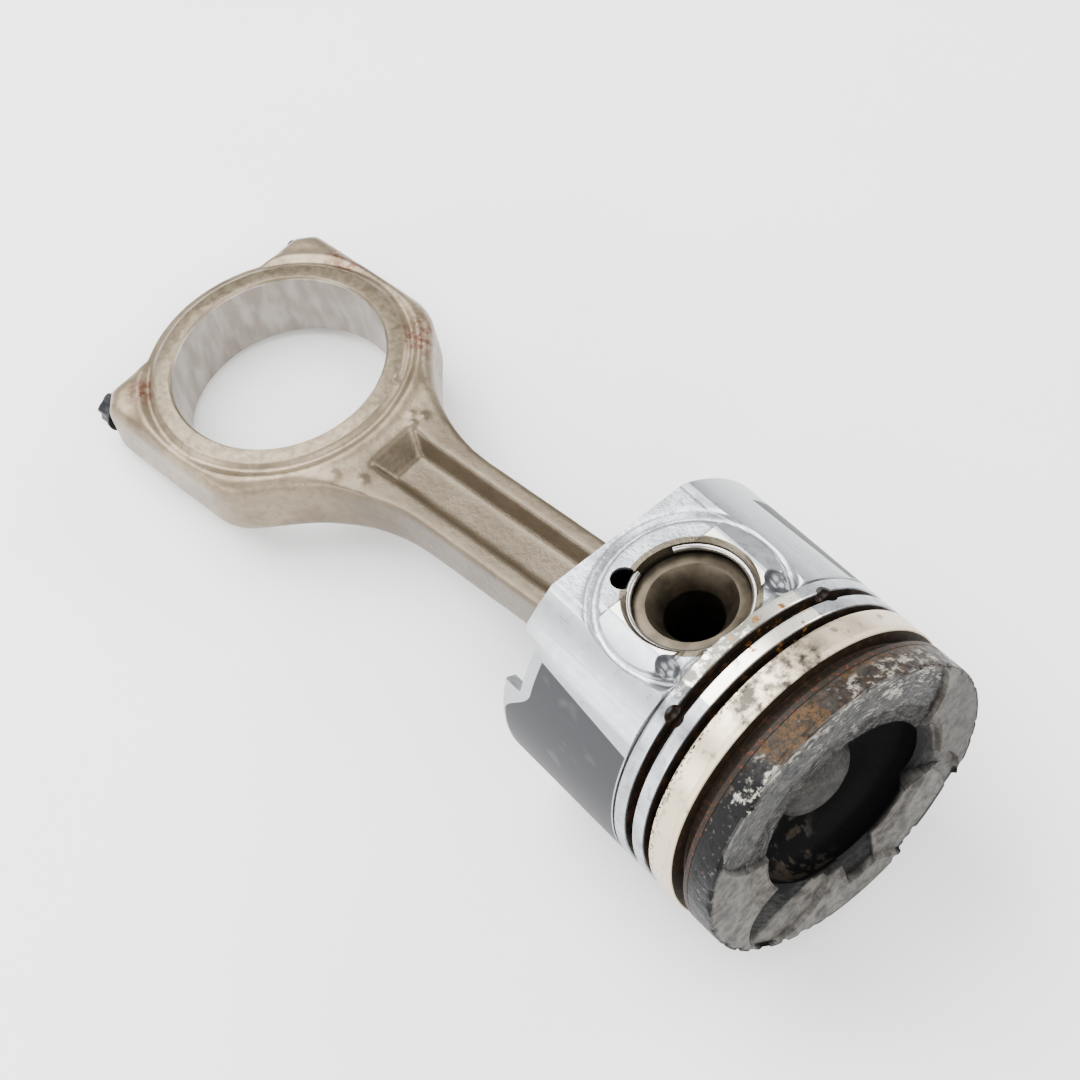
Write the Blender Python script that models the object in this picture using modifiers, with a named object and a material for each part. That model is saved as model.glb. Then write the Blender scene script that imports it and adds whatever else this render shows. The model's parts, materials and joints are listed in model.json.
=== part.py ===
"""Diesel engine piston with its connecting rod, lying on its side as it comes off the bench.

Design frame: the origin is where the gudgeon pin's axis crosses the piston's axis, +X runs along the
piston's axis to the crown, +Z along the gudgeon pin, and +Y across the skirt. The whole assembly hangs
from one empty, which tips it over until the ring belt and the big end both touch the ground.
"""
import math

import bmesh
import bpy
from mathutils import Euler, Matrix

MM = 0.001
GAP = 0.3 * MM                      # room between solids that touch

# piston, along its axis from the gudgeon pin
BORE_RADIUS = 43.0 * MM
TOP_LAND_RADIUS = 42.6 * MM
CROWN = 49.6 * MM
SKIRT_END = -26.5 * MM
BELT_END = 16.0 * MM                # lower edge of the ring belt
# each groove: from, to, floor radius
GROOVES = ((26.1 * MM, 28.5 * MM, 38.9 * MM), (19.6 * MM, 22.5 * MM, 38.9 * MM))
CARRIER = (34.6 * MM, 41.6 * MM, 37.2 * MM)          # from, to, inner radius
TOP_GROOVE = (36.2 * MM, 40.0 * MM, 38.7 * MM)
CROWN_CHAMFER = 0.5 * MM

# combustion bowl and valve pockets; (y, z) places are across the crown
BOWL_CENTRE_Z = 1.5 * MM
BOWL_MOUTH = 24.6 * MM
BOWL_WIDEST = 27.5 * MM
BOWL_FLOOR = 33.6 * MM
LIP_DEPTH = 2.2 * MM                # straight part of the bowl's mouth
DOME_TOP = 42.0 * MM
DOME_RADII = (6.0 * MM, 9.5 * MM, 13.0 * MM)         # at its top, its shoulder and its foot
POCKET_FLOOR = 48.2 * MM
POCKETS = ((-23.2 * MM, 20.0 * MM, 12.8 * MM), (19.6 * MM, 21.4 * MM, 13.2 * MM),
           (-20.5 * MM, -21.0 * MM, 12.4 * MM), (20.0 * MM, -20.0 * MM, 13.4 * MM))  # y, z, radius
POCKET_BRIDGE = (-23.0 * MM, 20.0 * MM, 12.0 * MM)    # y from, y to, z from: joins the inlet pockets
SCOOP = (-20.5 * MM, -21.0 * MM, 12.2 * MM)          # y, z, radius of the tilted second cut
SCOOP_TILT = math.radians(20.0)     # down towards the bowl
SCOOP_SLANT = math.radians(10.0)

# pin bosses and skirt
BOSS_FACE = 39.5 * MM
BOSS_SHOULDER = 38.4 * MM
BOSS_RADIUS = 22.0 * MM
BOSS_FACE_HALF_LENGTH = 10.0 * MM
SIDE_WALL = 37.0 * MM
SIDE_WALL_HALF_WIDTH = 24.0 * MM
TROUGH_RADIUS = 25.5 * MM
TROUGH_FLOOR = 35.6 * MM
INNER_BOSS = 13.8 * MM              # half the room between the bosses
INNER_BOSS_RADIUS = 20.5 * MM
SKIRT_INNER_RADIUS = 39.4 * MM
SIDE_WALL_INNER = 32.0 * MM
CAVITY_TOP = 23.5 * MM
# the hollow's outline under the crown: distance below its top, radius
CAVITY_SHOULDER = ((0.0, 22.0 * MM), (3.0 * MM, 29.0 * MM), (9.5 * MM, 34.0 * MM),
                   (15.5 * MM, SKIRT_INNER_RADIUS))
BOSS_WEB_HALF_WIDTH = 16.4 * MM
NOTCH_DEPTH = 6.0 * MM
NOTCH_ANGLE = math.radians(56.5)    # middle of the skirt notch, from +Z towards -Y
NOTCH_WIDTH = 15.0 * MM
DIMPLE_ANGLE = math.radians(33.0)
DIMPLE_X = 20.6 * MM
DIMPLE_RADIUS = 2.7 * MM

# gudgeon pin, circlips and bush
PIN_RADIUS = 15.0 * MM
PIN_HALF_LENGTH = 35.6 * MM
PIN_HOLE = 7.4 * MM
PIN_CONE = (10.9 * MM, 6.0 * MM)    # mouth radius, depth
PIN_BORE = PIN_RADIUS + GAP
BORE_CHAMFER = 1.2 * MM
CLIP_Z = 36.9 * MM
CLIP_WIRE = 0.9 * MM
CLIP_RADIUS = 15.05 * MM
CLIP_GROOVE = (16.3 * MM, 2.5 * MM)  # radius, width
CLIP_GAP = (math.radians(156.0), math.radians(196.0))
CLIP_NOTCH = (-15.0 * MM, -8.0 * MM, 3.2 * MM)       # x, y, radius
BUSH_WALL = 1.6 * MM

# connecting rod, along its own axis from the big end to the small end
ROD_LENGTH = 156.7 * MM
ROD_SWIVEL = math.radians(6.91)     # how far the rod hangs over to -Y
BIG_BORE = 30.2 * MM
BIG_RING = 35.2 * MM
BIG_HALF_WIDTH = 40.5 * MM
BIG_FACE = 11.2 * MM
BIG_BODY = 10.2 * MM
CAP_BACK = 40.0 * MM
CAP_SHOULDER = 33.4 * MM
CAP_CORNER = 5.0 * MM               # cut off each outer corner of the cap
SHANK_HALF_WIDTH = 12.8 * MM
SHANK_HALF_THICKNESS = 7.75 * MM
FLARE_SHOULDER = 16.0 * MM          # radius where the big end's side turns in towards the shank
FLARE_DIAGONAL = 60.4 * MM          # x + y along the straight stretch after it, at 45 degrees
FLARE_END = 70.0 * MM               # where the wide fillet that follows reaches the shank
CHANNEL = (46.0 * MM, 131.0 * MM)
CHANNEL_HALF_WIDTH = (4.2 * MM, 7.2 * MM)            # at the web, at the flange tops
WEB_HALF_THICKNESS = 2.0 * MM
SMALL_OUTER = 21.0 * MM
SMALL_FACE = 13.2 * MM
PARTING_GAP = 0.15 * MM             # half the room between rod and cap
SIDE_ROUNDING = 4.0 * MM
BOLT_Y = 35.5 * MM
BOLT_SHANK = 4.0 * MM
BOLT_HEAD = (4.9 * MM, 6.0 * MM)    # radius, height
BOLT_FLANGE = (5.3 * MM, 1.2 * MM)  # radius, thickness
BOLT_SEAT = 31.0 * MM               # from the parting face to the floor of the spot face
SPOT_FACE_RADIUS = 5.7 * MM
BOLT_REACH = 12.0 * MM              # how far the thread goes into the rod past the parting face

# how the assembly lies on the ground
LIE_PITCH = math.radians(-8.94)
LIE_ROLL = math.radians(1.75)

ROUND = 72                          # facets of a large round


def clear_scene():
    for thing in list(bpy.data.objects):
        bpy.data.objects.remove(thing, do_unlink=True)


def make_collection(name):
    group = bpy.data.collections.new(name)
    bpy.context.scene.collection.children.link(group)
    return group


def material(name, colour, roughness, metallic):
    mat = bpy.data.materials.new(name)
    mat.use_nodes = True
    shader = mat.node_tree.nodes["Principled BSDF"]
    shader.inputs["Base Color"].default_value = (*colour, 1.0)
    shader.inputs["Roughness"].default_value = roughness
    shader.inputs["Metallic"].default_value = metallic
    return mat


def add_object(name, mesh, group, mat=None):
    thing = bpy.data.objects.new(name, mesh)
    group.objects.link(thing)
    if mat:
        mesh.materials.append(mat)
    if group is CUTTERS:
        thing.hide_render = True
        thing.display_type = "WIRE"
    return thing


def turned(name, profile, group, mat=None, steps=ROUND, along_x=False):
    """A profile of (radius, height) points, outer side running down, turned about its height axis."""
    mesh = bpy.data.meshes.new(name)
    points = [(radius, 0.0, height) for radius, height in profile]
    closed = profile[0][0] > 0 and profile[-1][0] > 0
    edges = [(i, i + 1) for i in range(len(points) - 1)]
    if closed:
        edges.append((len(points) - 1, 0))
    mesh.from_pydata(points, edges, [])
    thing = add_object(name, mesh, group, mat)
    screw = thing.modifiers.new("turn", "SCREW")
    screw.steps = steps
    screw.render_steps = steps
    screw.use_merge_vertices = True
    screw.merge_threshold = 0.000001
    if along_x:
        thing.rotation_euler = (0.0, math.radians(90.0), 0.0)
    return thing


def cylinder(name, radius, low, high, group, mat=None, steps=ROUND):
    """A bar about Z from low to high."""
    mesh = bpy.data.meshes.new(name)
    form = bmesh.new()
    bmesh.ops.create_cone(form, cap_ends=True, segments=steps, radius1=radius,
                          radius2=radius, depth=high - low)
    bmesh.ops.translate(form, verts=form.verts, vec=(0.0, 0.0, (low + high) / 2))
    form.to_mesh(mesh)
    form.free()
    return add_object(name, mesh, group, mat)


def box(name, low, high, group, mat=None):
    mesh = bpy.data.meshes.new(name)
    form = bmesh.new()
    bmesh.ops.create_cube(form, size=1.0)
    size = [b - a for a, b in zip(low, high)]
    middle = [(a + b) / 2 for a, b in zip(low, high)]
    bmesh.ops.scale(form, verts=form.verts, vec=size)
    bmesh.ops.translate(form, verts=form.verts, vec=middle)
    form.to_mesh(mesh)
    form.free()
    return add_object(name, mesh, group, mat)


def prism(name, outline, low, high, group, mat=None, along="z"):
    """A flat outline raised from low to high: (x, y) points along Z, (y, z) along X or (x, z) along Y."""
    places = {"z": lambda a, b, c: (a, b, c), "x": lambda a, b, c: (c, a, b), "y": lambda a, b, c: (a, c, b)}
    place = places[along]
    mesh = bpy.data.meshes.new(name)
    form = bmesh.new()
    base = form.faces.new([form.verts.new(place(a, b, low)) for a, b in outline])
    raised = bmesh.ops.extrude_face_region(form, geom=[base])
    tops = [item for item in raised["geom"] if isinstance(item, bmesh.types.BMVert)]
    bmesh.ops.translate(form, verts=tops, vec=place(0.0, 0.0, high - low))
    bmesh.ops.recalc_face_normals(form, faces=form.faces)
    form.to_mesh(mesh)
    form.free()
    return add_object(name, mesh, group, mat)


def boolean(thing, other, operation="DIFFERENCE"):
    cut = thing.modifiers.new(other.name, "BOOLEAN")
    cut.operation = operation
    cut.solver = "EXACT"
    cut.object = other


def weld(thing):
    """Close the hairline splits that a chain of Booleans leaves."""
    join = thing.modifiers.new("weld", "WELD")
    join.merge_threshold = 0.01 * MM


def smooth(thing, degrees=30.0):
    thing.data.shade_smooth()
    thing.data.set_sharp_from_angle(angle=math.radians(degrees))


# ---------------------------------------------------------------- piston

def piston_profile():
    """Outer side of the piston from the crown down to the skirt's end, with its grooves."""
    edge = TOP_LAND_RADIUS - CROWN_CHAMFER
    points = [(0.0, CROWN), (edge, CROWN), (TOP_LAND_RADIUS, CROWN - CROWN_CHAMFER)]
    low, high, floor = CARRIER
    floor -= GAP
    points += [(TOP_LAND_RADIUS, high + GAP), (floor, high + GAP)]
    points += [(floor, low - GAP), (BORE_RADIUS, low - GAP)]
    for low, high, floor in GROOVES:
        points += [(BORE_RADIUS, high), (floor, high), (floor, low), (BORE_RADIUS, low)]
    points += [(BORE_RADIUS, SKIRT_END), (0.0, SKIRT_END)]
    return points


def bowl_profile():
    """The re-entrant combustion bowl with its central dome, as a cutter."""
    above = CROWN + 5 * MM
    lip = CROWN - LIP_DEPTH
    points = [(0.0, above), (BOWL_MOUTH, above), (BOWL_MOUTH, lip)]
    middle = (lip + BOWL_FLOOR) / 2
    half = middle - BOWL_FLOOR
    inset = BOWL_WIDEST - half
    for step in range(1, 11):
        turn = math.radians(60.0 - step * 15.0)
        points.append((inset + half * math.cos(turn), middle + half * math.sin(turn)))
    crest, shoulder, foot = DOME_RADII
    points += [(foot, BOWL_FLOOR + 2.2 * MM), (shoulder, DOME_TOP - 1.4 * MM)]
    points += [(crest, DOME_TOP - 0.3 * MM), (0.0, DOME_TOP)]
    return points


def cavity_cutter():
    """The hollow under the crown: round inside the skirt, flat by the bosses, which are left standing."""
    end = SKIRT_END - 5 * MM
    profile = [(0.0, CAVITY_TOP)] + [(radius, CAVITY_TOP - drop) for drop, radius in CAVITY_SHOULDER]
    profile += [(SKIRT_INNER_RADIUS, end), (0.0, end)]
    hollow = turned("cavity_round", profile, CUTTERS, along_x=True)
    inner = SIDE_WALL_INNER
    corner = SIDE_WALL_HALF_WIDTH - 3 * MM
    side = SKIRT_INNER_RADIUS + 2 * MM
    drop = inner - (side - corner)
    outline = [(-side, -drop), (-corner, -inner), (corner, -inner), (side, -drop),
               (side, drop), (corner, inner), (-corner, inner), (-side, drop)]
    flat = prism("cavity_flat", outline, end - 1 * MM, CAVITY_TOP + 1 * MM, CUTTERS, along="x")
    boolean(hollow, flat, "INTERSECT")
    for side_name, low, high in (("front", INNER_BOSS, 45 * MM), ("rear", -45 * MM, -INNER_BOSS)):
        column = cylinder("boss_column_" + side_name, INNER_BOSS_RADIUS, low, high, CUTTERS, steps=48)
        web = box("boss_web_" + side_name, (0.0, -BOSS_WEB_HALF_WIDTH, low),
                  (30 * MM, BOSS_WEB_HALF_WIDTH, high), CUTTERS)
        boolean(hollow, column)
        boolean(hollow, web)
    return hollow


def side_flat_cutter(sign, name):
    """What is taken off the round skirt on one pin side."""
    corner = SIDE_WALL_HALF_WIDTH
    reach = 60 * MM
    low = SIDE_WALL - (reach - corner)
    outline = [(-reach, low), (-corner, SIDE_WALL), (corner, SIDE_WALL), (reach, low),
               (reach, reach), (-reach, reach)]
    outline = [(y, sign * z) for y, z in outline]
    return prism(name, outline, SKIRT_END - 3 * MM, BELT_END, CUTTERS, along="x")


def boss_pad(sign, name):
    """The raised pin boss on one side, with two machined crescents at its full height."""
    root = 30 * MM
    low, high = sorted((sign * root, sign * BOSS_SHOULDER))
    pad = cylinder(name, BOSS_RADIUS, low, high, CUTTERS, steps=48)
    low, high = sorted((sign * root, sign * BOSS_FACE))
    face_bar = cylinder(name + "_face", BOSS_RADIUS - 0.3 * MM, low, high, CUTTERS, steps=48)
    keep = box(name + "_keep", (-BOSS_FACE_HALF_LENGTH, -30 * MM, -50 * MM),
               (BOSS_FACE_HALF_LENGTH, 30 * MM, 50 * MM), CUTTERS)
    boolean(face_bar, keep, "INTERSECT")
    boolean(pad, face_bar, "UNION")
    belt = box(name + "_belt", (BELT_END - 2 * MM, -40 * MM, -50 * MM), (40 * MM, 40 * MM, 50 * MM), CUTTERS)
    boolean(pad, belt)
    return pad


def build_piston():
    body = turned("piston_body", piston_profile(), PARTS, ALLOY, steps=72, along_x=True)
    for side, sign in (("front", 1), ("rear", -1)):
        boolean(body, side_flat_cutter(sign, "side_flat_" + side))
        profile = [(TROUGH_RADIUS, 45 * MM), (TROUGH_RADIUS, TROUGH_FLOOR + 0.8 * MM),
                   (TROUGH_RADIUS - 1 * MM, TROUGH_FLOOR), (BOSS_RADIUS - 1 * MM, TROUGH_FLOOR),
                   (BOSS_RADIUS - 1 * MM, 45 * MM)]
        trough = turned("trough_" + side, profile, CUTTERS, steps=48)
        trough.rotation_euler = (0.0 if sign > 0 else math.pi, 0.0, 0.0)
        limit = box("trough_limit_" + side, (BELT_END - 0.5 * MM, -50 * MM, -50 * MM),
                    (60 * MM, 50 * MM, 50 * MM), CUTTERS)
        boolean(trough, limit)
        boolean(body, trough)
        boolean(body, boss_pad(sign, "boss_pad_" + side), "UNION")
    weld(body)
    boolean(body, cavity_cutter())
    weld(body)
    boolean(body, turned("bowl", bowl_profile(), CUTTERS, steps=56, along_x=True))
    bpy.data.objects["bowl"].location = (0.0, 0.0, BOWL_CENTRE_Z)
    weld(body)
    add_pockets(body)
    weld(body)
    add_pin_bore(body)
    add_skirt_notch(body)
    for side in (1, -1):
        for turn in (DIMPLE_ANGLE, -DIMPLE_ANGLE):
            dimple = cylinder("dimple", DIMPLE_RADIUS, 39.0 * MM, 50 * MM, CUTTERS, steps=24)
            dimple.rotation_euler = (turn if side > 0 else math.pi - turn, 0.0, 0.0)
            dimple.location = (DIMPLE_X, 0.0, 0.0)
            boolean(body, dimple)
    smooth(body)
    return body


def add_pockets(body):
    """Valve pockets sunk into the crown, the two exhaust ones followed by a tilted second cut."""
    for number, (y, z, radius) in enumerate(POCKETS):
        pocket = cylinder("pocket_%d" % number, radius, 0.0, 10 * MM, CUTTERS, steps=48)
        pocket.rotation_euler = (0.0, math.radians(90.0), 0.0)
        pocket.location = (POCKET_FLOOR + 0.03 * MM * number, y, z)
        boolean(body, pocket)
    bridge = box("pocket_bridge", (POCKET_FLOOR + 0.1 * MM, POCKET_BRIDGE[0], POCKET_BRIDGE[2]),
                 (CROWN + 12 * MM, POCKET_BRIDGE[1], 50 * MM), CUTTERS)
    boolean(body, bridge)
    y, z, radius = SCOOP
    scoop = cylinder("scoop_exhaust", radius, 0.0, 14 * MM, CUTTERS, steps=48)
    turn = Matrix.Rotation(SCOOP_SLANT, 4, "X") @ Matrix.Rotation(math.radians(90.0) - SCOOP_TILT, 4, "Y")
    scoop.matrix_world = Matrix.Translation((POCKET_FLOOR + 0.15 * MM, y, z)) @ turn
    boolean(body, scoop)


def add_pin_bore(body):
    boolean(body, cylinder("pin_bore", PIN_BORE, -50 * MM, 50 * MM, CUTTERS, steps=48))
    for side, sign in (("front", 1), ("rear", -1)):
        mouth = PIN_BORE + BORE_CHAMFER
        edge = BOSS_FACE - BORE_CHAMFER
        profile = [(0.0, 50 * MM), (mouth + 0.4 * MM, 50 * MM), (mouth, BOSS_FACE),
                   (PIN_BORE - 0.5 * MM, edge - 0.5 * MM), (0.0, edge - 0.5 * MM)]
        chamfer = turned("bore_chamfer_" + side, profile, CUTTERS, steps=72)
        radius, width = CLIP_GROOVE
        low, high = CLIP_Z - width / 2, CLIP_Z + width / 2
        profile = [(radius, high), (radius, low), (PIN_BORE - 1 * MM, low), (PIN_BORE - 1 * MM, high)]
        groove = turned("clip_groove_" + side, profile, CUTTERS, steps=48)
        x, y, radius = CLIP_NOTCH
        notch = cylinder("clip_notch_" + side, radius, 34.0 * MM, 50 * MM, CUTTERS, steps=32)
        notch.location = (x, y, 0.0)
        for cutter in (chamfer, groove, notch):
            if sign < 0:
                cutter.rotation_euler = (math.pi, 0.0, 0.0)
                cutter.location = (cutter.location.x, -cutter.location.y, 0.0)
            boolean(body, cutter)
            weld(body)


def add_skirt_notch(body):
    cutter = box("skirt_notch", (SKIRT_END - 5 * MM, -NOTCH_WIDTH / 2, 33 * MM),
                 (SKIRT_END + NOTCH_DEPTH, NOTCH_WIDTH / 2, 50 * MM), CUTTERS)
    cutter.rotation_euler = (NOTCH_ANGLE, 0.0, 0.0)
    boolean(body, cutter)


def build_ring_carrier():
    low, high, inner = CARRIER
    groove_low, groove_high, floor = TOP_GROOVE
    outer = TOP_LAND_RADIUS
    profile = [(outer, high), (outer, groove_high), (floor, groove_high), (floor, groove_low),
               (BORE_RADIUS, groove_low), (BORE_RADIUS, low), (inner, low), (inner, high)]
    carrier = turned("ring_carrier", profile, PARTS, IRON, steps=72, along_x=True)
    smooth(carrier)
    return carrier


def build_pin():
    mouth, depth = PIN_CONE
    half = PIN_HALF_LENGTH
    chamfer = 0.9 * MM
    profile = [(mouth, half), (PIN_RADIUS - chamfer, half), (PIN_RADIUS, half - chamfer),
               (PIN_RADIUS, chamfer - half), (PIN_RADIUS - chamfer, -half), (mouth, -half),
               (PIN_HOLE, depth - half), (PIN_HOLE, half - depth)]
    pin = turned("gudgeon_pin", profile, PARTS, PIN_STEEL, steps=72)
    smooth(pin)
    return pin


def build_circlip(name, z):
    curve = bpy.data.curves.new(name, "CURVE")
    curve.dimensions = "3D"
    curve.bevel_depth = CLIP_WIRE
    curve.bevel_resolution = 2
    curve.use_fill_caps = True
    wire = curve.splines.new("POLY")
    start, end = CLIP_GAP[1], CLIP_GAP[0] + 2 * math.pi
    count = 40
    wire.points.add(count)
    for index in range(count + 1):
        turn = start + (end - start) * index / count
        wire.points[index].co = (CLIP_RADIUS * math.cos(turn), CLIP_RADIUS * math.sin(turn), z, 1.0)
    curve.materials.append(SPRING_STEEL)
    clip = bpy.data.objects.new(name, curve)
    PARTS.objects.link(clip)
    return clip


# ---------------------------------------------------------------- connecting rod

def arc(centre, radius, start, end, count):
    """Points round part of a circle, from one angle in degrees to another."""
    points = []
    for step in range(count + 1):
        turn = math.radians(start + (end - start) * step / count)
        points.append((centre[0] + radius * math.cos(turn), centre[1] + radius * math.sin(turn)))
    return points


def rod_outline():
    """The rod's outline from the cap's back to the small end, counter-clockwise."""
    crest = math.degrees(math.acos(CAP_SHOULDER / CAP_BACK))
    upper = arc((0.0, 0.0), CAP_BACK, 180.0, 180.0 - crest, 6)[1:]
    upper += [(-CAP_SHOULDER, BIG_HALF_WIDTH - CAP_CORNER), (CAP_CORNER - CAP_SHOULDER, BIG_HALF_WIDTH)]
    bow = math.sqrt(2) - 1
    turn_in = FLARE_DIAGONAL - BIG_HALF_WIDTH - bow * FLARE_SHOULDER
    upper += arc((turn_in, BIG_HALF_WIDTH - FLARE_SHOULDER), FLARE_SHOULDER, 90.0, 45.0, 5)
    fillet = (FLARE_END + SHANK_HALF_WIDTH - FLARE_DIAGONAL) / bow
    upper += arc((FLARE_END, SHANK_HALF_WIDTH + fillet), fillet, 225.0, 270.0, 9)
    upper.append((ROD_LENGTH, SHANK_HALF_WIDTH))
    lower = [(x, -y) for x, y in reversed(upper)]
    return list(reversed([(-CAP_BACK, 0.0)] + upper + lower))


def channel_cutter(sign, name):
    """One of the two channels that make the shank an I, with sloping walls."""
    start, end = CHANNEL
    floor, rim = CHANNEL_HALF_WIDTH
    slope = (rim - floor) / (SHANK_HALF_THICKNESS - WEB_HALF_THICKNESS)
    top = SHANK_HALF_THICKNESS + 4 * MM
    wide = floor + slope * (top - WEB_HALF_THICKNESS)
    outline = [(-floor, WEB_HALF_THICKNESS), (floor, WEB_HALF_THICKNESS), (wide, top), (-wide, top)]
    return prism(name, [(y, sign * z) for y, z in outline], start, end, CUTTERS, along="x")


def thinning_cutter(sign, name):
    """Brings the forging down from the big end's thickness to the shank's."""
    far, out = ROD_LENGTH + 40 * MM, 20 * MM
    outline = [(36 * MM, BIG_BODY), (54 * MM, SHANK_HALF_THICKNESS), (far, SHANK_HALF_THICKNESS),
               (far, out), (36 * MM, out)]
    return prism(name, [(x, sign * z) for x, z in outline], -60 * MM, 60 * MM, CUTTERS, along="y")


def build_rod_half(name, low, high, mat):
    """The rod or its cap: the same forging, kept only where x is between low and high."""
    body = prism(name, rod_outline(), -BIG_BODY, BIG_BODY, PARTS, mat)
    edge = body.modifiers.new("forged_edges", "BEVEL")
    edge.width = SIDE_ROUNDING
    edge.segments = 3
    edge.limit_method = "ANGLE"
    edge.angle_limit = math.radians(60.0)
    if high > CHANNEL[0]:
        for side, sign in (("front", 1), ("rear", -1)):
            boolean(body, thinning_cutter(sign, "thinning_" + side))
            boolean(body, channel_cutter(sign, "channel_" + side))
        eye = cylinder("small_end_eye", SMALL_OUTER, -SMALL_FACE, SMALL_FACE, CUTTERS, steps=48)
        eye.location = (ROD_LENGTH, 0.0, 0.0)
        boolean(body, eye, "UNION")
        bore = cylinder("small_end_bore", PIN_BORE + BUSH_WALL + GAP, -20 * MM, 20 * MM, CUTTERS, steps=48)
        bore.location = (ROD_LENGTH, 0.0, 0.0)
        boolean(body, bore)
    ring = cylinder(name + "_ring", BIG_RING, -BIG_FACE, BIG_FACE, CUTTERS, steps=96)
    boolean(body, ring, "UNION")
    chamfer = 0.8 * MM
    profile = [(0.0, BIG_FACE + 1 * MM), (BIG_BORE + chamfer + 1 * MM, BIG_FACE + 1 * MM),
               (BIG_BORE, BIG_FACE - chamfer), (BIG_BORE, chamfer - BIG_FACE),
               (BIG_BORE + chamfer + 1 * MM, -BIG_FACE - 1 * MM), (0.0, -BIG_FACE - 1 * MM)]
    boolean(body, turned(name + "_bore", profile, CUTTERS, steps=96))
    keep = box(name + "_keep", (low, -60 * MM, -30 * MM), (high, 60 * MM, 30 * MM), CUTTERS)
    boolean(body, keep, "INTERSECT")
    for side in (1, -1):
        hole = cylinder("%s_bolt_hole_%d" % (name, side), BOLT_SHANK + GAP, -50 * MM, BOLT_REACH + 2 * MM,
                        CUTTERS, steps=32)
        hole.rotation_euler = (0.0, math.radians(90.0), 0.0)
        hole.location = (0.0, side * BOLT_Y, 0.0)
        boolean(body, hole)
        if low < -BOLT_SEAT:
            seat = cylinder("spot_face_%d" % side, SPOT_FACE_RADIUS, -60 * MM, -BOLT_SEAT, CUTTERS, steps=48)
            seat.rotation_euler = (0.0, math.radians(90.0), 0.0)
            seat.location = (0.0, side * BOLT_Y, 0.0)
            boolean(body, seat)
    smooth(body)
    return body


def build_bolt(name, side):
    radius, height = BOLT_HEAD
    seat = BOLT_SEAT + GAP
    flange, thickness = BOLT_FLANGE
    top = seat + height
    profile = [(0.0, top - 1.6 * MM), (2.3 * MM, top - 1.6 * MM), (2.7 * MM, top),
               (radius - 0.8 * MM, top), (radius, top - 0.8 * MM), (radius, seat + thickness + 0.4 * MM),
               (flange, seat + thickness), (flange, seat), (BOLT_SHANK, seat),
               (BOLT_SHANK, 1.0 * MM - BOLT_REACH), (BOLT_SHANK - 1.0 * MM, -BOLT_REACH), (0.0, -BOLT_REACH)]
    bolt = turned(name, profile, PARTS, BLACK_STEEL, steps=32)
    bolt.rotation_euler = (0.0, math.radians(-90.0), 0.0)
    bolt.location = (0.0, side * BOLT_Y, 0.0)
    smooth(bolt)
    return bolt


def build_bush():
    inner, outer = PIN_BORE, PIN_BORE + BUSH_WALL
    half = SMALL_FACE - 0.4 * MM
    bush = turned("small_end_bush", [(outer, half), (outer, -half), (inner, -half), (inner, half)],
                  PARTS, BRONZE, steps=64)
    bush.location = (ROD_LENGTH, 0.0, 0.0)
    smooth(bush)
    return bush


# ---------------------------------------------------------------- assembly

def empty(name, parent=None):
    thing = bpy.data.objects.new(name, None)
    thing.empty_display_size = 10 * MM
    CUTTERS.objects.link(thing)
    thing.parent = parent
    return thing


def hang(things, parent):
    """Parent things to an empty, with the cutters of each following it."""
    for thing in things:
        thing.parent = parent
        for modifier in thing.modifiers:
            if modifier.type == "BOOLEAN" and modifier.object.parent is None:
                hang([modifier.object], parent)


def lie_down(root):
    """Set the assembly on the ground, its box centred over the origin."""
    root.rotation_euler = Euler((LIE_ROLL, LIE_PITCH, 0.0), "XYZ")
    bpy.context.view_layer.update()
    graph = bpy.context.evaluated_depsgraph_get()
    corners = []
    for thing in PARTS.objects:
        seen = thing.evaluated_get(graph)
        mesh = seen.to_mesh()
        corners += [seen.matrix_world @ vertex.co for vertex in mesh.vertices]
        seen.to_mesh_clear()
    low = [min(point[axis] for point in corners) for axis in range(3)]
    high = [max(point[axis] for point in corners) for axis in range(3)]
    root.location = (-(low[0] + high[0]) / 2, -(low[1] + high[1]) / 2, -low[2])


clear_scene()
PARTS = make_collection("piston_and_rod")
CUTTERS = make_collection("cutters")
ALLOY = material("cast_aluminium_alloy", (0.62, 0.63, 0.64), 0.42, 1.0)
IRON = material("ring_carrier_iron", (0.24, 0.17, 0.13), 0.62, 0.8)
PIN_STEEL = material("pin_steel", (0.30, 0.27, 0.23), 0.38, 1.0)
SPRING_STEEL = material("spring_steel", (0.66, 0.66, 0.65), 0.25, 1.0)
FORGED = material("forged_steel", (0.42, 0.38, 0.33), 0.5, 0.9)
BRONZE = material("bush_bronze", (0.62, 0.44, 0.22), 0.35, 1.0)
BLACK_STEEL = material("black_oxide_steel", (0.03, 0.03, 0.03), 0.5, 0.7)

root = empty("assembly")
swivel = empty("rod_swivel", root)
swivel.rotation_euler = (0.0, 0.0, ROD_SWIVEL)
big_end = empty("big_end_centre", swivel)
big_end.location = (-ROD_LENGTH, 0.0, 0.0)

hang([build_piston(), build_ring_carrier(), build_circlip("circlip_front", CLIP_Z),
      build_circlip("circlip_rear", -CLIP_Z)], root)
hang([build_pin()], root)
rod = build_rod_half("connecting_rod", PARTING_GAP, ROD_LENGTH + 60 * MM, FORGED)
cap = build_rod_half("rod_cap", -60 * MM, -PARTING_GAP, FORGED)
hang([rod, cap, build_bolt("cap_bolt_upper", 1), build_bolt("cap_bolt_lower", -1), build_bush()], big_end)
lie_down(root)
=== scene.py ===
"""The looks of a used diesel piston on its connecting rod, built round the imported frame.

Shapes are worked out in millimetres in two design frames and set down in metres. In the piston's frame
the origin is where the gudgeon pin's axis crosses the piston's axis, X runs to the crown and Z along the
pin. In the rod's frame the origin is the big end's centre and X runs to the small end.
"""
import json
import math

import bmesh
import bpy
import numpy as np
from mathutils import Matrix, Vector


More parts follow.
